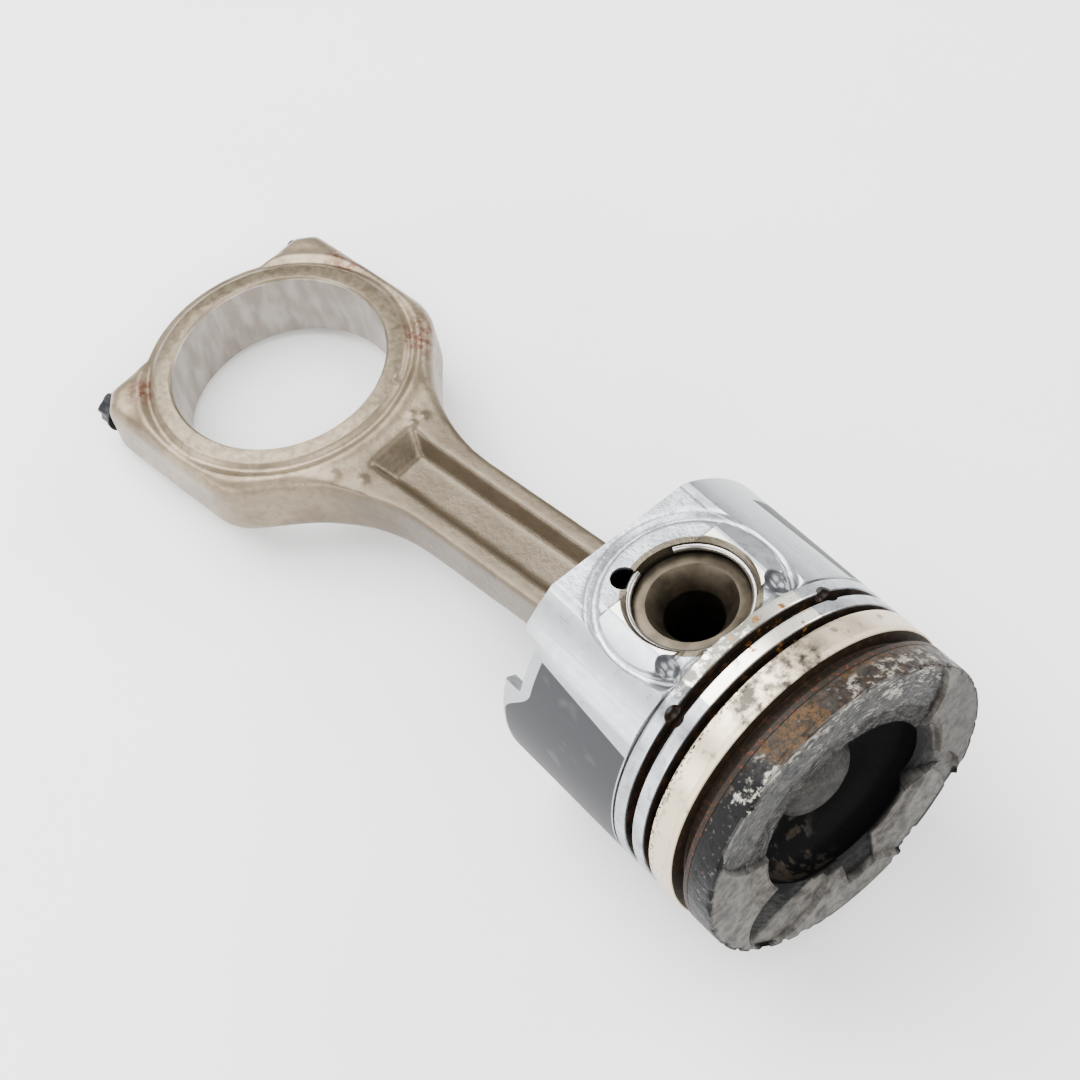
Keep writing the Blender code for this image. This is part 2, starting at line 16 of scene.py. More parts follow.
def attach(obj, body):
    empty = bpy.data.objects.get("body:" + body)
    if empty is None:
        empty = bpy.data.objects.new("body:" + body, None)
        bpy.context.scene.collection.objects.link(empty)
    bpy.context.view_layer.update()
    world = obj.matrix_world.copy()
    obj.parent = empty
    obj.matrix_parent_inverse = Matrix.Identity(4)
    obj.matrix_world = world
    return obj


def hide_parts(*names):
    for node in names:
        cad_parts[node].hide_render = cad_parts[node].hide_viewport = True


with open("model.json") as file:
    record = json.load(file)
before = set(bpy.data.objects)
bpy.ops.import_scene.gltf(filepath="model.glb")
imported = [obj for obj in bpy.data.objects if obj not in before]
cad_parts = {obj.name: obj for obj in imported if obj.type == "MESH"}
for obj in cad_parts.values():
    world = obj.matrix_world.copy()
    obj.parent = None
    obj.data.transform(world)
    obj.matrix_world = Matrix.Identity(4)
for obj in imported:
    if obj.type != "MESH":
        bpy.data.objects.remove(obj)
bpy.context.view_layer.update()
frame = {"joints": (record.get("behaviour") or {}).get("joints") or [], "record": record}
MM = 0.001

# piston, along its axis
BORE_RADIUS = 42.97
TOP_LAND = 42.58
CROWN = 49.58
SKIRT_END = -26.5
BELT_END = 16.0
GROOVES = ((26.1, 28.5, 38.9), (19.6, 22.5, 38.9))    # from, to, floor radius
CARRIER = (34.6, 41.6, 37.2)    # from, to, inner radius
TOP_GROOVE = (36.2, 40.0, 38.7)
SEAT_GAP = 0.04

# combustion bowl and valve pockets; places across the crown are (y, z)
BOWL_CENTRE_Z = 1.5
BOWL_MOUTH = 24.6
LIP_HEIGHT = 47.6
INLET_FLOOR = 48.2
BOWL_SECTION = (
    (42.0, 0.3), (41.9, 4.0), (41.4, 7.4), (39.6, 10.2), (36.4, 12.2), (34.2, 15.0), (33.6, 18.5),
    (34.4, 22.5), (36.2, 25.6), (38.8, 27.3), (41.0, 27.5), (44.2, 26.7), (46.6, 25.2))    # x, radius
INLET_POCKETS = ((-23.2, 20.3, 12.7), (19.8, 21.4, 13.2))    # y, z, radius
EXHAUST_POCKETS = ((-20.5, -21.0, 12.4, 48.35), (20.0, -20.0, 15.2, 48.25))    # and floor
POCKET_EDGE = 0.22
LEFT_WEDGE_EDGE = (-31.5, -24.2), (-8.0, -19.6)
RIGHT_POCKET_FOOT = (7.3, -33.4), (17.6, -41.2)
RIDGE = (-1.5, -36.0), (-3.5, -20.0)
WEDGE_FOOT = (-4.0, -34.2), (7.5, -33.3)
WEDGE_BOTTOM = (9.0, -36.0)
BANK_Z = (-28.0, -20.0, -14.0, -8.0, 0.0, 6.0, 10.0)
BANK_Y = (35.3, 33.6, 30.6, 29.4, 29.6, 28.6, 26.0)

# pin bosses and skirt
BOSS_FACE = 39.5
BOSS_SHOULDER = 38.4
BOSS_RADIUS = 22.0
BOSS_FACE_HALF = 10.0
SIDE_WALL = 37.0
SIDE_WALL_HALF = 24.0
TROUGH_RADIUS = 25.5
TROUGH_FLOOR = 35.6
INNER_BOSS = 13.8
INNER_BOSS_SIZE = 20.5
SKIRT_INSIDE = 39.4
SIDE_WALL_INNER = 32.0
HOLLOW_X = 11.5
HOLLOW_Y = 17.0
CAVITY_TOP = 23.5
NOTCH_DEPTH = 6.0
NOTCH_ANGLE = math.radians(56.5)
NOTCH_WIDTH = 15.0
DIMPLE_ANGLE = math.radians(33.0)
DIMPLE_X = 20.6
DIMPLE_RADIUS = 2.7

# gudgeon pin and circlips
PIN_RADIUS = 15.0
PIN_HALF_LENGTH = 35.6
PIN_HOLE = 7.4
PIN_CONE = (10.9, 6.0)    # mouth radius, depth
PIN_BORE = 15.3
CLIP_Z = 36.9
CLIP_WIRE = 0.9
CLIP_RADIUS = 15.05
CLIP_GROOVE = (16.3, 2.5)    # radius, width
CLIP_GAP = (math.radians(156.0), math.radians(196.0))
CLIP_NOTCH = (-15.0, -8.0, 3.2)    # x, y, radius

# connecting rod
ROD_LENGTH = 156.7
SMALL_END = (ROD_LENGTH, 0.0)
ROD_SWIVEL = math.radians(6.91)
BIG_BORE = 30.2
BIG_RING = 35.2
BIG_HALF_WIDTH = 40.5
BIG_FACE = 11.2
BIG_BODY = 10.2
CAP_BACK = 40.0
CAP_SHOULDER = 33.4
CAP_CORNER = 5.0
SHANK_HALF_WIDTH = 12.8
SHANK_FACE = 7.75
FLARE_SHOULDER = 16.0
FLARE_DIAGONAL = 60.4
FLARE_END = 70.0
CHANNEL = (46.0, 131.0)
CHANNEL_HALF_WIDTH = (5.0, 7.6)
WEB_FACE = 2.0
SMALL_OUTER = 21.0
SMALL_FACE = 13.2
BUSH_OUTER = 16.9
PARTING_GAP = 0.03
BOLT_Y = 35.5
BOLT_SHANK = 4.0
BOLT_HEAD = (4.9, 6.0)    # radius, height
BOLT_FLANGE = (5.3, 1.2)    # radius, thickness
BOLT_SEAT = 31.0
SPOT_FACE_RADIUS = 5.7
BOLT_REACH = 12.0
FORGING_LUMPS = (
    (45.0, 8.5, 0.5, 1.1), (45.5, 12.0, 0.55, 1.2), (42.5, 10.5, 0.4, 0.9), (47.5, -13.0, 0.55, 1.5),
    (41.0, -17.0, 0.45, 1.6), (32.0, 15.0, -0.5, 1.0))    # x, y, height, size
RUST_PLACES = ((26.0, 33.0, 12.0), (-13.0, 38.5, 9.0), (-24.0, -30.0, 7.0))    # x, y, reach

# camera, in the piston's frame
CAMERA_PLACE = (257.35, -163.0, 478.1)
CAMERA_AHEAD = (-0.5366, 0.2693, -0.7997)
CAMERA_UP = (-0.5709, 0.5820, 0.5791)
CAMERA_LENS = 76.95

# lights, in the row frame: place, size, power
AIM = (0.0, 0.0, 0.03)
LIGHTS = {
    "overhead": ((-0.50, -0.16, 0.80), (0.9, 0.8), 25.0),
    "beside_camera": ((0.62, -0.15, 0.82), (0.8, 0.6), 11.0),
    "low_side": ((-0.05, -0.80, 0.30), (0.9, 0.3), 8.0),
    "far_side": ((0.10, 0.75, 0.50), (0.8, 0.3), 8.0)}


# ---- frames

def design_frames():
    """The piston's and the rod's design frames in the row frame, from the record's hinge and mounts."""
    hinge = next(joint for joint in frame["joints"] if joint["name"] == "rod_swing")
    crown = next(mount for mount in frame["record"]["mounts"] if mount["name"] == "crown_face")
    z_axis = Vector(hinge["axis"]).normalized()
    x_axis = Vector(crown["axis"])
    x_axis = (x_axis - z_axis * x_axis.dot(z_axis)).normalized()
    turn = Matrix((x_axis, z_axis.cross(x_axis), z_axis)).transposed().to_4x4()
    piston = Matrix.Translation(hinge["pos_m"]) @ turn
    swivel = Matrix.Rotation(ROD_SWIVEL, 4, "Z")
    return piston, piston @ swivel @ Matrix.Translation((-ROD_LENGTH * MM, 0.0, 0.0))


PISTON, ROD = design_frames()


# ---- mesh work, in millimetres

def from_grid(name, rows, loop=False):
    """A closed surface through rows of points that each run round an axis."""
    count, around = rows.shape[:2]
    points = rows.reshape(-1, 3)
    last = count if loop else count - 1
    index = np.arange(count * around).reshape(count, around)
    faces = []
    for step in range(last):
        near, far = index[step], index[(step + 1) % count]
        quads = np.stack([near, np.roll(near, -1), np.roll(far, -1), far], 1)
        faces += quads.tolist()
    if not loop:
        for row, turn in ((0, 1), (count - 1, -1)):
            centre = len(points)
            points = np.vstack([points, rows[row].mean(0)])
            ring = index[row][::turn]
            faces += np.stack([np.full(around, centre), np.roll(ring, -1), ring], 1).tolist()
    mesh = bpy.data.meshes.new(name)
    mesh.from_pydata(points.tolist(), [], faces)
    form = bmesh.new()
    form.from_mesh(mesh)
    if form.calc_volume(signed=True) < 0:
        bmesh.ops.reverse_faces(form, faces=form.faces)
    form.to_mesh(mesh)
    form.free()
    return add_object(name, mesh)


def add_object(name, data):
    thing = bpy.data.objects.new(name, data)
    bpy.context.scene.collection.objects.link(thing)
    return thing


def add_form(name, form):
    """An object with the mesh that was made in a bmesh."""
    mesh = bpy.data.meshes.new(name)
    form.to_mesh(mesh)
    form.free()
    return add_object(name, mesh)


def lathe(name, profile, steps=96, axis="z", loop=False):
    """A profile of (height, radius) points turned about an axis; a loop makes a ring."""
    profile = np.array(profile, float)
    turn = np.linspace(0, 2 * math.pi, steps, endpoint=False)
    height = np.repeat(profile[:, :1], steps, 1)
    across = profile[:, 1:] * np.cos(turn)
    along = profile[:, 1:] * np.sin(turn)
    order = {"z": (across, along, height), "x": (height, across, along)}[axis]
    return from_grid(name, np.stack(order, -1), loop)


def cylinder(name, radius, low, high, steps=96, centre=(0.0, 0.0), axis="z"):
    bar = lathe(name, [(low, 1e-3), (low, radius), (high, radius), (high, 1e-3)], steps, axis)
    place = {"z": (centre[0], centre[1], 0.0), "x": (0.0, centre[0], centre[1])}[axis]
    bar.data.transform(Matrix.Translation(place))
    return bar


def box(name, low, high):
    form = bmesh.new()
    bmesh.ops.create_cube(form, size=1.0)
    bmesh.ops.scale(form, verts=form.verts, vec=[b - a for a, b in zip(low, high)])
    bmesh.ops.translate(form, verts=form.verts, vec=[(a + b) / 2 for a, b in zip(low, high)])
    return add_form(name, form)


def prism(name, outline, low, high, along="z"):
    """A flat outline raised from low to high: (x, y) along Z, (y, z) along X or (x, z) along Y."""
    order = {"z": (0, 1, 2), "x": (2, 0, 1), "y": (0, 2, 1)}[along]

    def place(*point):
        return [point[index] for index in order]

    form = bmesh.new()
    base = form.faces.new([form.verts.new(place(a, b, low)) for a, b in outline])
    raised = bmesh.ops.extrude_face_region(form, geom=[base])
    tops = [item for item in raised["geom"] if isinstance(item, bmesh.types.BMVert)]
    bmesh.ops.translate(form, verts=tops, vec=place(0.0, 0.0, high - low))
    bmesh.ops.recalc_face_normals(form, faces=form.faces)
    return add_form(name, form)


def ball(name, centre, radii):
    form = bmesh.new()
    bmesh.ops.create_icosphere(form, subdivisions=4, radius=1.0)
    bmesh.ops.scale(form, verts=form.verts, vec=radii)
    bmesh.ops.translate(form, verts=form.verts, vec=centre)
    return add_form(name, form)


def apply_modifiers(thing):
    graph = bpy.context.evaluated_depsgraph_get()
    mesh = bpy.data.meshes.new_from_object(thing.evaluated_get(graph))
    thing.modifiers.clear()
    old = thing.data
    thing.data = mesh
    bpy.data.meshes.remove(old)


def work(thing, operation, *others, solver="EXACT"):
    """Cut, join or intersect a mesh with others, which are used up."""
    for other in others:
        step = thing.modifiers.new("work", "BOOLEAN")
        step.operation = operation
        step.solver = solver
        step.object = other
    apply_modifiers(thing)
    for other in others:
        bpy.data.objects.remove(other, do_unlink=True)
    return thing


def soften(thing, voxel, rounds):
    """Turn a sharp solid into a cast or forged one: evenly meshed, with its edges rounded."""
    remesh = thing.modifiers.new("remesh", "REMESH")
    remesh.mode = "VOXEL"
    remesh.voxel_size = voxel
    rounding = thing.modifiers.new("rounding", "SMOOTH")
    rounding.factor = 0.5
    rounding.iterations = rounds
    apply_modifiers(thing)
    return thing


def cut(thing, *tools):
    """Machine a piece: take the tools' shapes out of it."""
    return work(thing, "DIFFERENCE", *tools, solver="MANIFOLD")


def mirrored(half):
    """A profile from its end to the middle, followed by its mirror image."""
    return half + [(-height, radius) for height, radius in reversed(half)]


def rows_of(items, what):
    flat = np.empty(len(items) * 3)
    items.foreach_get(what, flat)
    return flat.reshape(-1, 3)


def places(thing):
    """The mesh's points as an array."""
    return rows_of(thing.data.vertices, "co")


def move(thing, points):
    thing.data.vertices.foreach_set("co", points.ravel())
    thing.data.update()


def normals(thing):
    return rows_of(thing.data.vertex_normals, "vector")


def set_down(thing, design, mat, body, nodes, sharp=35.0):
    """Finish a piece: its place in the row frame, smooth shading, its material and what it rides on."""
    thing.data.transform(design @ Matrix.Scale(MM, 4))
    thing.data.shade_smooth()
    thing.data.set_sharp_from_angle(angle=math.radians(sharp))
    thing.data.materials.clear()
    thing.data.materials.append(mat)
    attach(thing, body)
    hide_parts(*nodes)


# ---- numbers that vary over a surface

def ramp(low, high, value):
    share = np.clip((value - low) / (high - low), 0.0, 1.0)
    return share * share * (3.0 - 2.0 * share)


def lumps(points, size, seed=0):
    """Smooth random values from 0 to 1 that change over a length of size."""
    spot = points / size
    cell = np.floor(spot).astype(np.int64)
    part = spot - cell
    part = part * part * (3.0 - 2.0 * part)
    total = np.zeros(points.shape[:-1])
    for corner in np.ndindex(2, 2, 2):
        at = cell + np.array(corner)
        mixed = (at[..., 0] * 73856093) ^ (at[..., 1] * 19349663) ^ (at[..., 2] * 83492791) ^ (seed * 2654435)
        mixed = ((mixed ^ (mixed >> 13)) * 1274126177) & 0xFFFFFFFF
        value = ((mixed ^ (mixed >> 16)) & 0xFFFF) / 65535.0
        weight = np.prod(np.where(np.array(corner) == 1, part, 1.0 - part), axis=-1)
        total += weight * value
    return total


def grain(points, size, octaves=4, seed=0):
    """Layered lumps, from about -1 to 1."""
    total = np.zeros(points.shape[:-1])
    strength = 0.5
    for octave in range(octaves):
        total += (lumps(points, size, seed + octave) - 0.5) * 2.0 * strength
        size *= 0.5
        strength *= 0.6
    return total


def line(start, end, spacing):
    """Points from start up to, but without, end."""
    start, end = np.array(start, float), np.array(end, float)
    count = max(1, int(round(np.linalg.norm(end - start) / spacing)))
    return [tuple(start + (end - start) * step / count) for step in range(count)]


def flow(knots, spacing):
    """A smooth curve through the knots, points about a spacing apart."""
    knots = np.array(knots, float)
    padded = np.vstack([2 * knots[0] - knots[1], knots, 2 * knots[-1] - knots[-2]])
    points = []
    for index in range(1, len(padded) - 2):
        before, start, end, after = padded[index - 1:index + 3]
        count = max(1, int(round(np.linalg.norm(end - start) / spacing)))
        for step in range(count):
            t = step / count
            points.append(tuple(0.5 * (2 * start + (end - before) * t
                                       + (2 * before - 5 * start + 4 * end - after) * t * t
                                       + (3 * start - before - 3 * end + after) * t ** 3)))
    return points + [tuple(knots[-1])]


def edge(corner, inwards, outwards, radius, count=4):
    """A rounded corner between two directions at right angles, as count + 1 points."""
    corner, inwards, outwards = (np.array(item, float) for item in (corner, inwards, outwards))
    centre = corner + (inwards + outwards) * radius
    points = []
    for step in range(count + 1):
        turn = math.pi / 2 * step / count
        points.append(tuple(centre - outwards * radius * math.cos(turn) - inwards * radius * math.sin(turn)))
    return points


# ---- crown

def inside_disc(y, z, disc):
    """How far a place is inside a circle."""
    return disc[2] - np.hypot(y - disc[0], z - disc[1])


def below(y, z, start, end):
    """How far a place is to the right of the line from start to end."""
    along = np.array(end, float) - np.array(start, float)
    along /= np.linalg.norm(along)
    return (y - start[0]) * along[1] - (z - start[1]) * along[0]


def crown_height(y, z):
    """The crown's height, with its valve pockets and the scoops that run from them into the bowl."""
    height = np.full(np.shape(y), CROWN)

    def sink(inside, floor):
        share = ramp(-POCKET_EDGE, POCKET_EDGE, inside)
        return np.minimum(height, height + (floor - height) * share)

    inlet = [inside_disc(y, z, disc) for disc in INLET_POCKETS]
    between = np.minimum.reduce([y + 23.0, 20.0 - y, z - 12.0])
    height = sink(np.maximum.reduce(inlet + [between]), INLET_FLOOR)
    for disc in EXHAUST_POCKETS:
        height = sink(inside_disc(y, z, disc), disc[3])
    left = inside_disc(y, z, EXHAUST_POCKETS[0]) + 0.2
    chord = -below(y, z, *LEFT_WEDGE_EDGE)
    height = sink(np.minimum(left, chord), 48.1 - 0.34 * np.maximum(chord, 0.0))
    foot = -below(y, z, *RIGHT_POCKET_FOOT)
    height = sink(np.minimum.reduce([y - 7.3, foot, 28.0 - y, -21.0 - z]), EXHAUST_POCKETS[1][3])
    ridge, foot = below(y, z, *RIDGE), -below(y, z, *WEDGE_FOOT)
    wedge = np.minimum.reduce([ridge, foot, 7.4 - y, -17.5 - z])
    height = sink(wedge, 47.9 - 0.08 * np.hypot(y - WEDGE_BOTTOM[0], z - WEDGE_BOTTOM[1]))
    bank = np.interp(z, BANK_Z, BANK_Y) - y
    upper = z > -15.0
    strip = np.minimum.reduce([bank, 9.0 - z, np.maximum(3.4 - bank, np.where(upper, 1.0, -1.0))])
    strip = np.where(y > 15.0, strip, -1.0)
    return sink(strip, 48.3 - np.where(upper, 0.45, 0.12) * np.maximum(bank, 0.0))


def wall_radius(x):
    """How wide the re-entrant bowl is at a height below its lip."""
    return np.interp(x, (38.4, 41.0, 44.2, 46.6, LIP_HEIGHT), (27.2, 27.5, 26.7, 25.2, BOWL_MOUTH))


def crown_shape(x, radius, angle):
    """Where a point of the plain turned head goes once the pockets are cut and years of use have told."""
    shift = BOWL_CENTRE_Z * (1.0 - ramp(BOWL_MOUTH, TOP_LAND - 1.0, radius)) * (x > 30.0)
    y, z = -radius * np.sin(angle), radius * np.cos(angle) + shift
    height = crown_height(y, z)
    cut = (x > 44.0) & (x > height)
    new_x = np.where(cut, np.maximum(height, 44.0), x)
    new_radius = np.where(cut & (radius < 28.0), np.maximum(radius, wall_radius(new_x)), radius)
    return np.stack([new_x, -new_radius * np.sin(angle), new_radius * np.cos(angle) + shift], -1)


def worn(points):
    """Scratches, chips and carbon on the crown, the lands and inside the bowl."""
    x, y, z = points[..., 0], points[..., 1], points[..., 2]
    radius = np.hypot(y, z)
    outwards = np.stack([np.zeros_like(x), y / np.maximum(radius, 1e-6), z / np.maximum(radius, 1e-6)], -1)
    on_top = ramp(47.0, 47.8, x) * ramp(43.0, 42.0, radius)
    drop = 0.05 * grain(points, 3.0, 4, 3) + 0.02 * grain(points, 0.8, 2, 9)
    points = points.copy()
    points[..., 0] += on_top * np.minimum(drop, 0.0)
    in_bowl = ramp(46.5, 44.0, x) * (radius < 30.0)
    points[..., 0] += in_bowl * 0.16 * grain(points, 4.0, 4, 21)
    crust = ramp(41.85, 42.4, x) * ramp(49.9, 49.2, x) * (radius > 41.0)
    thick = 0.14 * grain(points, 2.2, 4, 5) + 0.05 * grain(points, 0.7, 2, 6)
    points += outwards * (crust * np.clip(thick, -0.25, 0.06))[..., None]
    at_rim = ramp(1.6, 0.2, np.hypot(x - crown_height(y, z), np.maximum(TOP_LAND - radius, 0.0)))
    chip = ramp(0.52, 0.8, lumps(points, 2.6, 31)) * at_rim
    points -= outwards * (0.42 * chip)[..., None]
    points[..., 0] -= 0.4 * chip
    return points


def head_profile():
    """The turned head from the middle of the dome to the underside, as (x, radius) points."""
    rows = flow(BOWL_SECTION, 0.7)
    rows += line((LIP_HEIGHT, BOWL_MOUTH), (CROWN - 0.5, BOWL_MOUTH), 0.3)
    rows += edge((CROWN, BOWL_MOUTH), (-1, 0), (0, 1), 0.5)[::-1]
    rows += line((CROWN, BOWL_MOUTH + 0.7), (CROWN, TOP_LAND - 0.6), 0.24)
    rows += edge((CROWN, TOP_LAND), (0, -1), (-1, 0), 0.4)[::-1]
    low, high, inner = CARRIER[0] - SEAT_GAP, CARRIER[1] + SEAT_GAP, CARRIER[2] - SEAT_GAP
    rows += line((CROWN - 0.6, TOP_LAND), (high + 0.2, TOP_LAND), 0.3)
    rows += [(high + 0.1, TOP_LAND - 0.02), (high, TOP_LAND - 0.12), (high, inner)]
    rows += [(low, inner), (low, BORE_RADIUS)] + land(low, GROOVES[0][1], BORE_RADIUS)[3:]
    ends = [groove[1] for groove in GROOVES[1:]] + [BELT_END]
    for (groove_low, groove_high, floor), end in zip(GROOVES, ends):
        rows += [(groove_high, floor + 0.3), (groove_high - 0.3, floor)]
        rows += [(groove_low + 0.3, floor), (groove_low, floor + 0.3)]
        rows += land(groove_low, end, BORE_RADIUS - 0.05)
    return rows + [(BELT_END, 37.6), (26.0, 37.6), (26.0, 0.3)]


def land(high, low, radius):
    """The outside of a ring land, with its two edges just broken."""
    rows = [(high, radius - 0.18), (high - 0.05, radius - 0.05), (high - 0.18, radius)]
    rows += line((high - 0.4, radius), (low + 0.4, radius), 0.35)
    return rows + [(low + 0.18, radius), (low + 0.05, radius - 0.05), (low, radius - 0.18)]


def build_head(steps):
    profile = np.array(head_profile())
    angle = np.linspace(0.0, 2 * math.pi, steps, endpoint=False)[None, :]
    x = np.repeat(profile[:, :1], steps, 1)
    radius = np.repeat(profile[:, 1:], steps, 1)
    points = crown_shape(x, radius, np.repeat(angle, len(profile), 0))
    outside = ((radius < 37.0) | (x > 41.7)) & (x > 33.0) & (radius > 0.1)
    return from_grid("piston_head", np.where(outside[..., None], worn(points), points))


# ---- piston casting

def side_flat(sign):
    reach = 62.0
    low = SIDE_WALL - (reach - SIDE_WALL_HALF)
    outline = [(-reach, low), (-SIDE_WALL_HALF, SIDE_WALL), (SIDE_WALL_HALF, SIDE_WALL),
               (reach, low), (reach, reach), (-reach, reach)]
    return prism("side_flat", [(y, sign * z) for y, z in outline], SKIRT_END - 5.0, BELT_END, "x")


def upright(thing, sign):
    """Turn a shape made for the front pin side to the rear one."""
    if sign < 0:
        thing.data.transform(Matrix.Rotation(math.pi, 4, "X"))
    return thing


def boss_shapes(sign):
    """What is cut from one pin side of the casting, and what then stands on it."""
    inner, half = BOSS_RADIUS - 1.0, BOSS_FACE_HALF
    trough = lathe("trough", [
        (50.0, TROUGH_RADIUS + 1.2), (TROUGH_FLOOR + 1.6, TROUGH_RADIUS), (TROUGH_FLOOR, TROUGH_RADIUS - 1.6),
        (TROUGH_FLOOR, inner), (50.0, inner)], loop=True)
    work(trough, "DIFFERENCE", box("limit", (BELT_END - 1.2, -60.0, 20.0), (60.0, 60.0, 60.0)))
    pad = cylinder("pad", BOSS_RADIUS, 30.0, BOSS_SHOULDER)
    face = cylinder("face", BOSS_RADIUS - 0.4, 30.0, BOSS_FACE + 1.5)
    work(face, "INTERSECT", box("keep", (-half, -30.0, 20.0), (half, 30.0, 50.0)))
    work(pad, "UNION", face)
    work(pad, "DIFFERENCE", box("belt", (BELT_END - 2.0, -40.0, 20.0), (40.0, 40.0, 60.0)))
    return upright(trough, sign), upright(pad, sign)


def cavity():
    """The hollow inside the piston, round its inner bosses and their webs."""
    end = SKIRT_END - 6.0
    hollow = lathe("hollow", [
        (CAVITY_TOP, 1e-3), (CAVITY_TOP, 22.0), (CAVITY_TOP - 3.0, 29.0), (BELT_END - 2.0, 34.0),
        (BELT_END - 8.0, SKIRT_INSIDE), (end, SKIRT_INSIDE), (end, 1e-3)], axis="x")
    inner, corner = SIDE_WALL_INNER, SIDE_WALL_HALF - 3.0
    side = SKIRT_INSIDE + 2.0
    drop = inner - (side - corner)
    right = [(corner, inner), (side, drop), (side, -drop), (corner, -inner)]
    outline = right + [(-y, z) for y, z in reversed(right)]
    work(hollow, "INTERSECT", prism("flat", outline, end - 1.0, CAVITY_TOP + 1.0, "x"))
    web_half = INNER_BOSS_SIZE * 0.8
    for low, high in ((INNER_BOSS, 45.0), (-45.0, -INNER_BOSS)):
        column = cylinder("column", INNER_BOSS_SIZE, low, high)
        work(hollow, "DIFFERENCE", column, box("web", (0.0, -web_half, low), (30.0, web_half, high)))
    return hollow


def build_casting():
    """The rough casting under the ring belt: soft edged, oversize where it is turned later."""
    spigot, rough = 38.0, 45.0
    step, end = BELT_END - 0.6, SKIRT_END - 3.0
    casting = lathe("piston_body", [
        (30.0, 1e-3), (30.0, spigot), (step, spigot), (step, rough), (end, rough), (end, 1e-3)], 144, "x")
    for sign in (1, -1):
        trough, pad = boss_shapes(sign)
        work(casting, "DIFFERENCE", side_flat(sign), trough)
        work(casting, "UNION", pad)
        for y in (-HOLLOW_Y, HOLLOW_Y):
            hollow = ball("hollow", (HOLLOW_X, y, 42.0), (4.2, 3.4, 6.0))
            work(casting, "DIFFERENCE", upright(hollow, sign))
    work(casting, "DIFFERENCE", cavity())
    return soften(casting, 0.55, 7)


def turn_outside(casting):
    """Turn the casting's outside, mill its boss faces and set the turned head on it."""
    step, neck = BELT_END - 0.3, 40.0
    envelope = lathe("envelope", [
        (31.0, 1e-3), (31.0, neck), (step, neck), (step, BORE_RADIUS), (SKIRT_END + 0.5, BORE_RADIUS),
        (SKIRT_END, BORE_RADIUS - 0.6), (SKIRT_END, 1e-3)], 480, "x")
    faces = box("faces", (-60.0, -60.0, -BOSS_FACE), (60.0, 60.0, BOSS_FACE))
    work(casting, "INTERSECT", envelope, faces, solver="MANIFOLD")
    work(casting, "UNION", build_head(900), solver="MANIFOLD")


def bore_bosses(casting):
    """Bore the bosses for the pin, with circlip grooves and the notches that let the clips out."""
    mouth = PIN_BORE + 1.2
    groove_radius, groove_width = CLIP_GROOVE
    low, high = CLIP_Z - groove_width / 2, CLIP_Z + groove_width / 2
    half = [(50.0, 1e-3), (50.0, mouth + 0.4), (BOSS_FACE, mouth), (BOSS_FACE - 1.2, PIN_BORE)]
    half += [(high, PIN_BORE), (high, groove_radius), (low, groove_radius), (low, PIN_BORE)]
    cut(casting, lathe("pin_bore", mirrored(half), 192))
    x, y, radius = CLIP_NOTCH
    cut(casting, *[upright(cylinder("notch", radius, 32.0, 50.0, 64, (x, y)), sign) for sign in (1, -1)])


def machine(casting):
    """Everything that is turned, bored, milled or drilled in the casting."""
    turn_outside(casting)
    bore_bosses(casting)
    for turn in (DIMPLE_ANGLE, -DIMPLE_ANGLE, math.pi - DIMPLE_ANGLE, math.pi + DIMPLE_ANGLE):
        centre = (DIMPLE_X, -42.4 * math.sin(turn), 42.4 * math.cos(turn))
        cut(casting, ball("dimple", centre, (DIMPLE_RADIUS,) * 3))
    half = NOTCH_WIDTH / 2
    jet = box("jet_notch", (SKIRT_END - 5.0, -half, 33.0), (SKIRT_END + NOTCH_DEPTH, half, 50.0))
    soften(jet, 0.4, 12)
    jet.data.transform(Matrix.Rotation(NOTCH_ANGLE, 4, "X"))
    return cut(casting, jet)


# ---- rod forging

def arc(centre, radius, start, end, count):
    """Points round part of a circle, from one angle in degrees to another."""
    points = []
    for step in range(count + 1):
        turn = math.radians(start + (end - start) * step / count)
        points.append((centre[0] + radius * math.cos(turn), centre[1] + radius * math.sin(turn)))
    return points


def rod_outline():
    """The rod's outline from the cap's back to the small end, counter-clockwise."""
    crest = math.degrees(math.acos(CAP_SHOULDER / CAP_BACK))
    upper = arc((0.0, 0.0), CAP_BACK, 180.0, 180.0 - crest, 12)[1:]
    upper += [(-CAP_SHOULDER, BIG_HALF_WIDTH - CAP_CORNER), (CAP_CORNER - CAP_SHOULDER, BIG_HALF_WIDTH)]
    bow = math.sqrt(2) - 1
    turn_in = FLARE_DIAGONAL - BIG_HALF_WIDTH - bow * FLARE_SHOULDER
    upper += arc((turn_in, BIG_HALF_WIDTH - FLARE_SHOULDER), FLARE_SHOULDER, 90.0, 45.0, 8)
    fillet = (FLARE_END + SHANK_HALF_WIDTH - FLARE_DIAGONAL) / bow
    upper += arc((FLARE_END, SHANK_HALF_WIDTH + fillet), fillet, 225.0, 270.0, 16)
    upper.append((ROD_LENGTH, SHANK_HALF_WIDTH))
    lower = [(x, -y) for x, y in reversed(upper)]
    return list(reversed([(-CAP_BACK, 0.0)] + upper + lower))


def channel(sign):
    """The tool for one of the shank's channels, with a ramp at its big end."""
    start, end = CHANNEL
    floor, rim = CHANNEL_HALF_WIDTH
    web = WEB_FACE
    top = SHANK_FACE + 6.0
    wide = floor + (rim - floor) / (SHANK_FACE - web) * (top - web)
    outline = [(-floor, web), (floor, web), (wide, top), (-wide, top)]
    cutter = prism("channel", [(y, sign * z) for y, z in outline], start - 9.0, end, "x")
    slant = [(start - 14.0, 0.0), (start + 4.0, 0.0), (start + 4.0, web), (start - 5.8, top + 1.0),
             (start - 14.0, top + 1.0)]
    return work(cutter, "DIFFERENCE", prism("ramp", [(x, sign * z) for x, z in slant], -30.0, 30.0, "y"))


